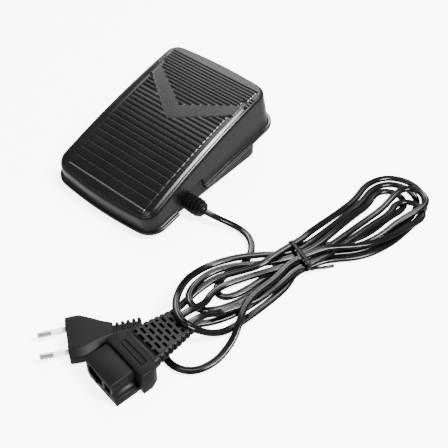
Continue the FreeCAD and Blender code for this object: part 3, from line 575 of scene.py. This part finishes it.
def tread_rows():
    """Places of the skin's rows, close together where a slat rises or falls."""
    rows = [SKIN_FRONT + HEEL_ROW_STEP * step for step in range(HEEL_ROWS)]
    for low, high in zip(EDGES, EDGES[1:]):
        groove = slat_groove(low, high)
        fall = slat_fall(low, high)
        if low > SKIN_FRONT:
            rows += [low + 0.2 * groove * step for step in range(6)]
            run = high - fall - 0.1 - (low + groove)
            count = max(1, int(run / 1.2))
            rows += [low + groove + run * (step + 1) / count for step in range(count)]
        rows += [high - step * fall for step in FALL_STEPS]
    y = EDGES[-1]
    while y < SKIN_REAR:
        rows.append(y)
        y += 0.25 if y < EDGES[-1] + 1 or y > SKIN_REAR - 2 else 1.0
    return rows + [SKIN_REAR]


def tread_columns():
    """Places of the skin's columns, close together at the slats' ends and the rim."""
    half = [i * 0.62 for i in range(0, 64)]
    half += [39.5, 39.8, 40.2, 40.6, 41.4, 42.6, 42.8, 43.0, 43.2, 43.4, 43.6]
    x = 43.8
    while x < SKIN_HALF:
        half.append(x)
        x += 0.2
    half.append(SKIN_HALF)
    return [-x for x in half[:0:-1]] + half


def onto_rim(x, y):
    """Pulls a point beyond the rim's outline back onto it."""
    beyond = -rim_distance(x, y)
    if beyond <= 0:
        return x, y
    middle, low, high = rim_middle(x, y)
    near = Vector((math.copysign(min(abs(x), middle), x), max(low, min(high, y))))
    out = Vector((x, y)) - near
    out *= 1.0 - beyond / out.length
    return near.x + out.x, near.y + out.y


def tread_skin():
    """The tread's top surface, with a grained material on the plain band."""
    rows = tread_rows()
    columns = tread_columns()
    verts = []
    for row in rows:
        for column in columns:
            x, y = onto_rim(column, row)
            height = tread_height(x, y)
            proud = max(0.0, height - PLAIN_HEIGHT) * soft_step(rim_distance(x, y), 0.35, 0.75)
            height = min(height, PLAIN_HEIGHT) + proud
            verts.append(place_cover((x, y, top_height(y) - SKIN + SKIN_LIFT + height)))
    wide = len(columns)
    faces = []
    for r in range(len(rows) - 1):
        for c in range(wide - 1):
            a = r * wide + c
            faces.append((a, a + 1, a + 1 + wide, a + wide))
    skin = add_mesh("pedal_cover_tread", verts, faces, "cover_gloss", "cover", extra=(TREAD_GRAIN,))
    for polygon in skin.data.polygons:
        x, row = polygon.center.x / MM, polygon.index // (wide - 1)
        low, high = band_limits(x)
        if low < rows[row] < high and abs(x) < VEE_HALF:
            polygon.material_index = 1


cover_shell()
tread_skin()


# --- cord strain relief of the pedal ---
GLAND = (0.0, -29.5, 10.0)
RING_RADII = (6.9, 7.2, 7.4, 7.2)
RING_PITCH = 3.4
BOOT_CORE = 4.9


def strain_relief():
    """The turned boot in the base's wall: a flange, four rings, a short end ring and a nozzle."""
    profile = [(42.0, 2.5), (42.0, 5.1), (42.3, 5.4), (44.0, 5.4), (44.3, 5.1), (44.3, 4.2), (46.3, 4.2),
               (46.3, 6.2), (46.5, 6.4), (47.3, 6.4), (47.5, 6.1), (47.7, BOOT_CORE)]
    x = 47.2
    for radius in RING_RADII:
        profile += [(x + 1.1, BOOT_CORE), (x + 1.3, radius - 0.9), (x + 1.45, radius - 0.3),
                    (x + 1.75, radius), (x + 2.95, radius), (x + 3.2, radius - 0.3),
                    (x + 3.35, radius - 0.9), (x + 3.5, BOOT_CORE)]
        x += RING_PITCH
    profile += [(x + 1.0, BOOT_CORE), (x + 1.15, 5.6), (x + 1.4, 6.1), (x + 2.5, 6.1), (x + 2.8, 5.8),
                (x + 2.9, 3.9), (x + 3.6, 3.7), (65.6, 3.3), (66.0, 2.9), (66.0, 1.2)]
    boot = turned("cord_strain_relief_look", profile, placer(GLAND, 0), "boot_pvc")
    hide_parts("cord_strain_relief")


strain_relief()

# --- mains plug ---
plug_place_flat = placer((74.4, -178.1, 0), -36.0)
PLUG_MID = 6.85
PLUG_OUTLINE = ((0.0, 17.4, 6.55, 3.1, 11.3, 0.0), (4.5, 17.65, 6.75, 3.2, 11.5, 0.05),
                (9.5, 17.55, 6.75, 3.2, 11.5, 0.1), (14.0, 15.4, 6.45, 3.1, 9.9, 0.1),
                (19.0, 12.6, 5.9, 3.0, 7.8, 0.1), (24.5, 9.5, 5.3, 2.8, 5.9, 0.05),
                (31.0, 6.4, 4.7, 2.6, 4.2, 0.0))
GRIP_RINGS = 5
GRIP_FROM, GRIP_PITCH, GRIP_WIDTH = 32.5, 3.8, 2.5


def place_plug(point):
    x, y, z = plug_place_flat(point)
    return (x, y, z + PLUG_MID)


def plug_ring(y, half, thick, edge_half, flat_half, crown):
    """A section across the plug: flat faces, slanted shoulders and narrow upright sides."""
    return [place_plug((x, y, z)) for x, z in (
        (half, edge_half), (flat_half, thick), (flat_half * 0.5, thick + crown), (0, thick + 1.3 * crown),
        (-flat_half * 0.5, thick + crown), (-flat_half, thick), (-half, edge_half), (-half, -edge_half),
        (-flat_half, -thick), (-flat_half * 0.5, -thick - crown), (0, -thick - 1.3 * crown),
        (flat_half * 0.5, -thick - crown), (flat_half, -thick), (half, -edge_half))]


def mains_plug():
    """The flat plug's shell, neck, grip rings and the seats of its two pins."""
    verts, faces = loft([plug_ring(*section) for section in PLUG_OUTLINE])
    body = fix_normals(add_mesh("mains_plug_shell", verts, faces, "plug_pvc"))
    soften(body, 0.9, 4, 24)
    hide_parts("mains_plug_body")
    prism("mains_plug_neck", [(4.2, 2.2), (3.6, 2.8), (-3.6, 2.8), (-4.2, 2.2), (-4.2, -2.2), (-3.6, -2.8),
                              (3.6, -2.8), (4.2, -2.2)], 30.0, 50.4, "plug_pvc", place_plug, 0.3)
    for index in range(GRIP_RINGS):
        y = GRIP_FROM + GRIP_PITCH * index
        half = 5.7 + 0.2 * index
        block(f"mains_plug_ring_{index + 1}", (-half, y, -3.5), (half, y + GRIP_WIDTH, 3.5), "plug_pvc",
              place_plug, 1.15, 5)
    for side in (-1, 1):
        block(f"mains_plug_pin_seat_{'left' if side < 0 else 'right'}", (side * 9.3 - 3.1, -0.35, -3.1),
              (side * 9.3 + 3.1, 0.6, 3.1), "plug_pvc", place_plug, 0.3, 2)


mains_plug()

# --- machine connector ---
place_connector = placer((117.1, -168.8, 0), -8.2)
BLOCK_SECTION = [(-12.3, 0.2), (17.5, 0.2), (17.5, 4.9), (15.9, 5.7), (15.9, 8.6), (13.5, 9.3), (13.5, 11.0),
                 (14.5, 11.7), (14.5, 17.7), (13.2, 19.1), (-13.8, 19.1), (-14.5, 18.4), (-14.5, 4.6)]
NECK_SECTION = [(-12.0, 0.3), (17.2, 0.3), (17.2, 4.6), (14.6, 5.4), (12.9, 6.2), (12.9, 16.4), (11.6, 17.5),
                (-12.4, 17.5), (-13.3, 16.6), (-13.3, 4.6)]
COLLAR_PLAN = [(-18.2, 0.0), (21.6, 0.0), (21.6, 7.6), (18.6, 13.6), (-16.4, 13.6), (-18.2, 8.0)]
COLLAR_FROM, COLLAR_TO = 0.2, 19.95
SOCKET_RECESSES = [(-11.6, 2.9, -19, -12.6, 6.3, 13.6), (5.2, 11.6, -19, -12.6, 6.3, 13.6),
                   (-6.0, -2.4, -19, -14.5, 1.8, 4.3), (6.2, 9.2, -19, -14.5, 1.8, 4.3)]
BORE_PITCH, BORE_RADIUS, BORE_DEPTH = 8.4, 1.9, 9.0
BOOT_FROM, BOOT_TO = 12.0, 50.0
BOOT_BOTTOM, BOOT_BEVEL = 10.8, 2.2
BOOT_ROWS, BOOT_ROW_PITCH, BOOT_SLOT = 8, 4.0, 2.0


def boot_edges(y):
    """Left and right sides and top of the boot at a distance along it."""
    share = (y - BOOT_FROM) / (BOOT_TO - BOOT_FROM)
    return -16.0 + 5.5 * share, 18.4 - 5.6 * share, 19.4 - 1.8 * share


def connector_block():
    """The socket end: a keyed block with two recesses, two notches and three contact bores."""
    body = prism("connector_block", BLOCK_SECTION, -18.3, -1.5, "plug_pvc", place_connector, 0.35, 3)
    carve(body, cutter_boxes(SOCKET_RECESSES, place_connector, 0.7))
    bore = [(0.0, 0.0), (0.0, BORE_RADIUS), (BORE_DEPTH, BORE_RADIUS), (BORE_DEPTH, 0.0)]
    for index in (-1, 0, 1):
        def place_bore(point, across=BORE_PITCH * index):
            return place_connector((across + point[1], -13.5 + point[0], 9.5 + point[2]))
        carve(body, turned("cutter", bore, place_bore, "boot_pvc", 40))
    crease(body, 35)
    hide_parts("connector_body")


def connector_collar():
    """The neck, the wide collar behind it and the plain panel on the collar's top."""
    prism("connector_neck", NECK_SECTION, -1.9, 0.6, "plug_pvc", place_connector, 0.2)
    rings = [[place_connector((x, y, z)) for x, y in COLLAR_PLAN] for z in (COLLAR_FROM, COLLAR_TO)]
    verts, faces = loft(rings)
    collar = fix_normals(add_mesh("connector_collar", verts, faces, "plug_pvc"))
    soften(collar, 1.1, 4)
    carve(collar, cutter_boxes([(-9.0, 14.0, 4.0, 9.9, 19.0, 21.0)], place_connector, 0.25))
    crease(collar, 35)
    block("connector_label_panel", (-8.2, 5.7, 18.5), (13.2, 8.2, 19.85), "plug_pvc", place_connector, 0.3, 3)
    block("connector_label_end", (14.4, 4.4, 19.4), (15.1, 9.5, 20.15), "plug_pvc", place_connector, 0.25, 3)


def boot_ring(y, grow):
    """A section across the boot, with rounded corners and grown a little at the collar."""
    left, right, top = boot_edges(y)
    left -= grow
    right += grow
    side = BOOT_BEVEL
    low = BOOT_BOTTOM
    return [place_connector((x, y, z)) for x, z in (
        (left, low + side), (left + side * 0.4, low + side * 0.4), (left + side, low), (right - side, low),
        (right - side * 0.4, low + side * 0.4), (right, low + side), (right, top - side),
        (right - side * 0.3, top - side * 0.3), (right - side, top), (left + side, top),
        (left + side * 0.3, top - side * 0.3), (left, top - side))]


def boot_slots():
    """Staggered slots through the boot's top and bottom, and one in each side, row by row."""
    slots = []
    for row in range(BOOT_ROWS):
        y = 17.6 + BOOT_ROW_PITCH * row
        left, right, top = boot_edges(y)
        cell = (right - left) / 4.2
        offset = 0.1 if row % 2 == 0 else 0.6
        for index in range(4):
            start = max(left + cell * (index + offset), left + 3.6)
            end = min(left + cell * (index + offset + 0.76), right - 3.6)
            if end - start > 1.8:
                slots.append((start, end, y, y + BOOT_SLOT, top - 3.0, top + 2))
                slots.append((start, end, y, y + BOOT_SLOT, 9.0, 12.6))
        slots.append((left - 3, left + 2.2, y, y + BOOT_SLOT, 9.0, top + 2))
        slots.append((right - 2.2, right + 3, y, y + BOOT_SLOT, 9.0, top + 2))
    return slots


def connector_boot():
    """The slotted boot that both leads leave."""
    sections = ((BOOT_FROM, 0.6), (15.0, 0.2), (18.0, 0.0), (34.0, 0.0), (BOOT_TO, 0.0))
    verts, faces = loft([boot_ring(y, grow) for y, grow in sections])
    boot = fix_normals(add_mesh("connector_boot", verts, faces, "boot_pvc"))
    soften(boot, 0.8, 3)
    carve(boot, cutter_boxes(boot_slots(), place_connector, 0.7))
    crease(boot, 35)


connector_block()
connector_collar()
connector_boot()


# --- flat twin leads ---
# Both leads are wound into one hank: its strands pass the tie in columns across and layers up,
# and fan out to the far lobe. A fan's entries are a place and the direction across the strands.
TIE_AT = (146.2, -16.0)
TIE_TURN = math.radians(-21.0)
TIE_REACH = 10.0
COLUMN = 5.6
L, M, H = 1.75, 5.2, 8.65
EAST_FAN = [(157.6, 3.0, 0.60, -0.48), (172.6, 21.7, 0.80, -0.60), (180.0, 43.0, 0.97, -0.24),
            (182.0, 64.0, 1.0, 0.0)]
WEST_FAN = [(149.6, 7.0, 1, 0), (150.6, 28.0, 1, 0), (151.4, 48.0, 1, 0), (152.8, 66.0, 1, 0)]
LOBE_OVERSHOOT = 1.06
FLAT_WIDE, FLAT_THICK = 5.4, 3.3
CORE_ARC = 122
LEAD_SWAY = 0.16
PEDAL_EXIT = (66.0, -29.5, 10.0)


def tie_pass(column, height, northward):
    """Two points that take a strand through the tie in a given column and layer."""
    points = []
    for along in (-TIE_REACH, TIE_REACH):
        across = column * COLUMN
        points.append((TIE_AT[0] + across * math.cos(TIE_TURN) - along * math.sin(TIE_TURN),
                       TIE_AT[1] + across * math.sin(TIE_TURN) + along * math.cos(TIE_TURN), height))
    return points if northward else points[::-1]


def lobe(east, west, centre, radius, rising, tip_height, falling, east_lean=0.0, west_lean=0.0):
    """A loop of the far lobe: out along its east side, round its tip and back along its west side."""
    points = []
    for index, (x, y, across_x, across_y) in enumerate(EAST_FAN):
        points.append((x + east * COLUMN * across_x + east_lean * index, y + east * COLUMN * across_y,
                       rising[index]))
    for angle in (0, 45, 90, 135, 180):
        turn = math.radians(angle)
        points.append((centre[0] + LOBE_OVERSHOOT * radius * math.cos(turn),
                       centre[1] + LOBE_OVERSHOOT * radius * math.sin(turn), tip_height))
    back = []
    for index, (x, y, across_x, across_y) in enumerate(WEST_FAN):
        back.append((x + west * COLUMN * across_x + west_lean * index, y + west * COLUMN * across_y,
                     falling[index]))
    return points + back[::-1]


def boot_exit(across, height):
    """Where a lead leaves the connector's boot."""
    return place_connector((across, BOOT_TO, height))


BOOT_EXIT_A, BOOT_EXIT_B = boot_exit(-3.4, 14.2), boot_exit(4.8, 14.2)
PEDAL_LEAD = [PEDAL_EXIT, (74.6, -28.4, 9.3), (83.4, -24.2, 6.0), (91.6, -21.0, 3.3),
              (100.3, -21.2, 2.4), (108.0, -25.2, 2.25), (113.6, -31.6, 2.25), (116.6, -39.5, 2.25)]
LOOSE_TURN = [(109.0, -110.0, 2.25), (108.4, -120.5, 2.25), (113.0, -131.5, 2.25), (122.5, -140.0, 2.25),
              (133.5, -144.8, 2.25), (143.5, -144.2, 2.25), (151.3, -139.2, 2.25), (156.0, -130.5, 2.25),
              (157.6, -118.5, 2.25), (156.0, -104.0, 4.5), (151.0, -91.0, 8.2), (145.5, -80.0, 8.7)]
PLUG_LEAD = [place_plug((0, 50.8, 0)), (111.2, -130.0, 6.9), (118.6, -122.6, 6.4), (124.8, -115.0, 4.6)]
LEAD_A = [BOOT_EXIT_A, (122.2, -110.7, 13.8), (123.4, -102.4, 11.6), (122.6, -94.0, 7.0)]
LEAD_B = [BOOT_EXIT_B, (130.6, -111.8, 13.8), (132.4, -103.4, 11.6), (134.9, -95.7, 6.4)]

PEDAL_TO_CONNECTOR = (
    PEDAL_LEAD
    + [(117.5, -48.5, L), (114.5, -58, L), (114, -67.5, L), (117, -77, L), (123.5, -80.5, L),
       (129.5, -76.5, L), (133.5, -66, L), (136.2, -52, L), (138.3, -40, L)]
    + tie_pass(-1.5, L, True)
    + lobe(-1.5, 0.0, (163, 80), 12.5, [3.6, L, L, L], L, [M, M, 3.5, L], -0.5, 0.0)
    + tie_pass(-0.5, M, False)
    + [(128, -40.5, M), (115, -53.5, M), (106.5, -68.5, M), (104.8, -83, M), (107, -94.5, 5.5),
       (114, -101.5, 5.8), (123, -100, 4.0), (130, -91, 1.9), (136.3, -78, L), (140.8, -61, L),
       (143.4, -43, L)]
    + tie_pass(-0.5, L, True)
    + lobe(-0.5, 1.2, (177.5, 88), 11.8, [L, L, 3.0, 5.6], H, [M, M, M, 6.5], 0.8, 2.0)
    + tie_pass(0.5, M, False)
    + [(139.5, -37, M), (133, -48, 4.6), (126.5, -60, 4.4), (121, -72, 4.6), (119.5, -84, 5.8)]
    + LEAD_A[::-1])

PLUG_TO_CONNECTOR = (
    PLUG_LEAD
    + [(131.5, -106, 2.6), (138.5, -94, L), (144, -78, L), (147.3, -60, L), (148.7, -43, L)]
    + tie_pass(0.5, L, True)
    + lobe(0.5, -1.0, (165, 84), 19.0, [3.6, L, L, L], L, [M, 3.0, L, L])
    + tie_pass(-1.5, M, False)
    + [(122, -33.5, M), (109, -49.5, M), (100.8, -66, M), (99.5, -80, 8.0), (102.5, -93, 13.5),
       (108, -105, 18.6), (114, -115.5, 20), (123, -122.5, 20), (133, -123.5, 19), (141.5, -117, 12.5),
       (146.5, -105, 4.0), (149.3, -90, L), (151.8, -73, L), (153.6, -56, L), (154.2, -41, L)]
    + tie_pass(1.5, L, True)
    + lobe(1.5, -2.0, (164.5, 86), 24.8, [L, L, L, L], L, [H, 5.0, L, L])
    + [(138.2, -3.0, H), (133.8, -23.0, H)]
    + [(131, -44, 8.7), (121, -57, 5.6), (112.5, -71, M), (109.5, -85, 3.6), (108.5, -97, 2.25)]
    + LOOSE_TURN
    + [(144, -64, 8.7), (146.5, -46, 8.7)]
    + tie_pass(0.5, H, True)
    + lobe(0.0, 2.2, (182, 77), 11.5, [H, 7.0, M, M], M, [M, M, M, M], 2.6, 2.4)
    + tie_pass(1.5, M, False)
    + [(151, -43, M), (148.5, -62, M), (143.5, -77, M), (137.5, -88, 5.8)]
    + LEAD_B[::-1])


def flat_profile():
    """Outline of the twin flex: two joined round cores with a groove along the middle."""
    radius = FLAT_THICK / 2
    offset = FLAT_WIDE / 2 - radius
    points = []
    for side in (1, -1):
        for step in range(9):
            angle = math.radians(-CORE_ARC + 2 * CORE_ARC * step / 8) + (0 if side > 0 else math.pi)
            points.append((side * offset + radius * math.cos(angle), radius * math.sin(angle)))
    return points


def direction(line, index):
    """From the point before to the point after one on a line."""
    return line[min(index + 1, len(line) - 1)] - line[max(index - 1, 0)]


def flat_lead(name, route, exit_point, seed, replaced):
    """Lays a flat lead along a smooth open curve through its route points."""
    data = bpy.data.curves.new(name + "_line", "CURVE")
    data.dimensions = "3D"
    data.resolution_u = 7
    spline = data.splines.new("NURBS")
    spline.points.add(len(route) - 1)
    for slot_point, point in zip(spline.points, route):
        slot_point.co = (*(Vector(point) * MM), 1.0)
    spline.order_u = 3
    spline.use_endpoint_u = True
    line = bpy.data.objects.new(name + "_line", data)
    bpy.context.scene.collection.objects.link(line)
    bpy.context.view_layer.update()
    graph = bpy.context.evaluated_depsgraph_get()
    drawn = bpy.data.meshes.new_from_object(line.evaluated_get(graph))
    centre = [v.co / MM for v in drawn.vertices]
    bpy.data.objects.remove(line)
    profile = flat_profile()
    rings = []
    run = 0.0
    for index, point in enumerate(centre):
        along = direction(centre, index).normalized()
        run += (point - centre[max(index - 1, 0)]).length
        side = along.cross(Vector((0, 0, 1))).normalized()
        lift = side.cross(along)
        tilt = LEAD_SWAY * noise.noise(Vector((run * 0.021, seed, 0.3)))
        wide = side * math.cos(tilt) + lift * math.sin(tilt)
        tall = lift * math.cos(tilt) - side * math.sin(tilt)
        rings.append([point + wide * u + tall * v for u, v in profile])
    verts, faces = loft(rings)
    lead = crease(fix_normals(add_mesh(name, verts, faces, "flex_black")), 75)
    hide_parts(*replaced)
    [c * MM for c in exit_point]
    print(name, "runs", round(run, 1), "mm")


flat_lead("lead_pedal_to_connector", PEDAL_TO_CONNECTOR, PEDAL_EXIT, 1.7,
          ("pedal_lead", "connector_lead_a", "cord_hank"))
flat_lead("lead_connector_to_plug", PLUG_TO_CONNECTOR[::-1], BOOT_EXIT_B, 5.2,
          ("loose_turn", "plug_lead", "connector_lead_b"))


# --- tie round the hank ---
STRIP_SECTION = ((1, 0.55), (0.9, 1), (0, 1.15), (-0.9, 1), (-1, 0.55), (-1, -0.55), (-0.9, -1), (0, -1.15),
                 (0.9, -1), (1, -0.55))
TIE_LEFT, TIE_RIGHT, TIE_LOW, TIE_HIGH = -14.0, 12.7, 0.6, 10.75
TAIL_FROM = Vector((157.6, -18.4, 0))
TAIL_LENGTH, TAIL_TURN = 18.6, math.radians(54.5)


def sweep_strip(name, centre, upright, wide, thick, slot):
    """A flat strip along a line, thin in the direction of each point's upright vector."""
    rings = []
    for index, (point, lift) in enumerate(zip(centre, upright)):
        side = direction(centre, index).cross(lift).normalized()
        rings.append([point + side * (u * wide / 2) + lift * (v * thick / 2) for u, v in STRIP_SECTION])
    verts, faces = loft(rings)
    return crease(fix_normals(add_mesh(name, verts, faces, slot)), 60)


def tie_band():
    """The tie's closed band round the hank, with a tighter corner on the upper left."""
    place = placer((TIE_AT[0], TIE_AT[1], 0), math.degrees(TIE_TURN))
    centre = []
    upright = []
    wide, tight = 4.4, 2.6
    for cx, cz, corner, start in ((TIE_RIGHT - wide, TIE_HIGH - wide, wide, 0),
                                  (TIE_LEFT + tight, TIE_HIGH - tight, tight, 90),
                                  (TIE_LEFT + wide, TIE_LOW + wide, wide, 180),
                                  (TIE_RIGHT - wide, TIE_LOW + wide, wide, 270)):
        for step in range(9):
            angle = math.radians(start + 90 * step / 8)
            out = Vector((math.cos(angle), 0, math.sin(angle)))
            spot = Vector((cx, 0, cz)) + out * corner
            centre.append(Vector(place(spot)))
            upright.append((Vector(place(spot + out)) - Vector(place(spot))).normalized())
    centre.append(centre[0] + Vector((0, 0, 0.4)))
    upright.append(upright[0])
    band = sweep_strip("cord_tie_band", centre, upright, 3.2, 0.9, "tie_black")
    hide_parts("cord_tie")


def tie_tail():
    """The tie's free end, lying out over the floor with a slight twist."""
    heading = Vector((math.cos(TAIL_TURN), math.sin(TAIL_TURN), 0))
    centre = []
    upright = []
    for step in range(40):
        share = step / 39
        spot = TAIL_FROM + heading * TAIL_LENGTH * share
        centre.append(Vector((spot.x, spot.y, 2.2 - 0.7 * share + 0.3 * math.sin(7 * share))))
        lean = 0.35 * math.sin(5.5 * share)
        upright.append(Vector((-heading.y * math.sin(lean), heading.x * math.sin(lean), math.cos(lean))))
    sweep_strip("cord_tie_tail", centre, upright, 2.6, 0.9, "tie_black")


tie_band()
tie_tail()


# --- room and lights ---
def floor_paper(name, grey, glow):
    """Paper that glows a little, so that shadows on it stay faint."""
    paper = material(name, (grey, grey, grey), 0.9, specular=0.0, tint_spread=0.01)
    shader = paper.node_tree.nodes["Principled BSDF"]
    shader.inputs["Emission Color"].default_value = (1.0, 1.0, 1.0, 1.0)
    shader.inputs["Emission Strength"].default_value = glow
    return paper


# Name, grey, glow and depth below the object. The bright floor is seen directly, and a dimmer one
# below it is what glossy surfaces mirror.
FLOORS = (("floor", 0.85, 5.0, 0.0002), ("floor_sheen", 0.0, 1.5, 0.0006))
FLOOR_HALF = 4
ROOM_GLOW = 0.6


def room():
    """Two sheets of floor and an even backdrop."""
    corners = [(-FLOOR_HALF, -FLOOR_HALF, 0), (FLOOR_HALF, -FLOOR_HALF, 0), (FLOOR_HALF, FLOOR_HALF, 0),
               (-FLOOR_HALF, FLOOR_HALF, 0)]
    for name, grey, glow, depth in FLOORS:
        mesh = bpy.data.meshes.new(name)
        mesh.from_pydata(corners, [], [(0, 1, 2, 3)])
        floor = bpy.data.objects.new(name, mesh)
        bpy.context.scene.collection.objects.link(floor)
        floor.location.z = -depth
        mirrored = name == "floor_sheen"
        floor.visible_glossy = mirrored
        floor.visible_camera = not mirrored
        floor.visible_diffuse = not mirrored
        mesh.materials.append(floor_paper(name, grey, glow))
    world = bpy.data.worlds.new("room")
    bpy.context.scene.world = world
    world.use_nodes = True
    backdrop = world.node_tree.nodes["Background"]
    backdrop.inputs["Color"].default_value = (1.0, 1.0, 1.0, 1.0)
    backdrop.inputs["Strength"].default_value = ROOM_GLOW


def softbox(name, at, towards, size, power):
    """A rectangular light aimed at a point."""
    data = bpy.data.lights.new(name, "AREA")
    data.shape = "RECTANGLE"
    data.size = size[0]
    data.size_y = size[1]
    data.energy = power
    lamp = bpy.data.objects.new(name, data)
    bpy.context.scene.collection.objects.link(lamp)
    lamp.location = at
    lamp.rotation_euler = (Vector(towards) - Vector(at)).to_track_quat("-Z", "Y").to_euler()


room()
softbox("overhead_rear", (-0.85, 0.8, 1.45), (0.0, 0.0, 0.02), (1.2, 0.9), 26.0)
softbox("strip_right", (0.95, 0.28, 1.55), (0.03, 0.0, 0.03), (0.35, 0.7), 150.0)
softbox("strip_rear", (-0.55, 1.05, 1.5), (0.05, -0.02, 0.03), (0.3, 0.3), 12.0)
softbox("fill_front", (0.2, -1.6, 1.2), (0.05, -0.05, 0.0), (1.2, 0.5), 15.0)
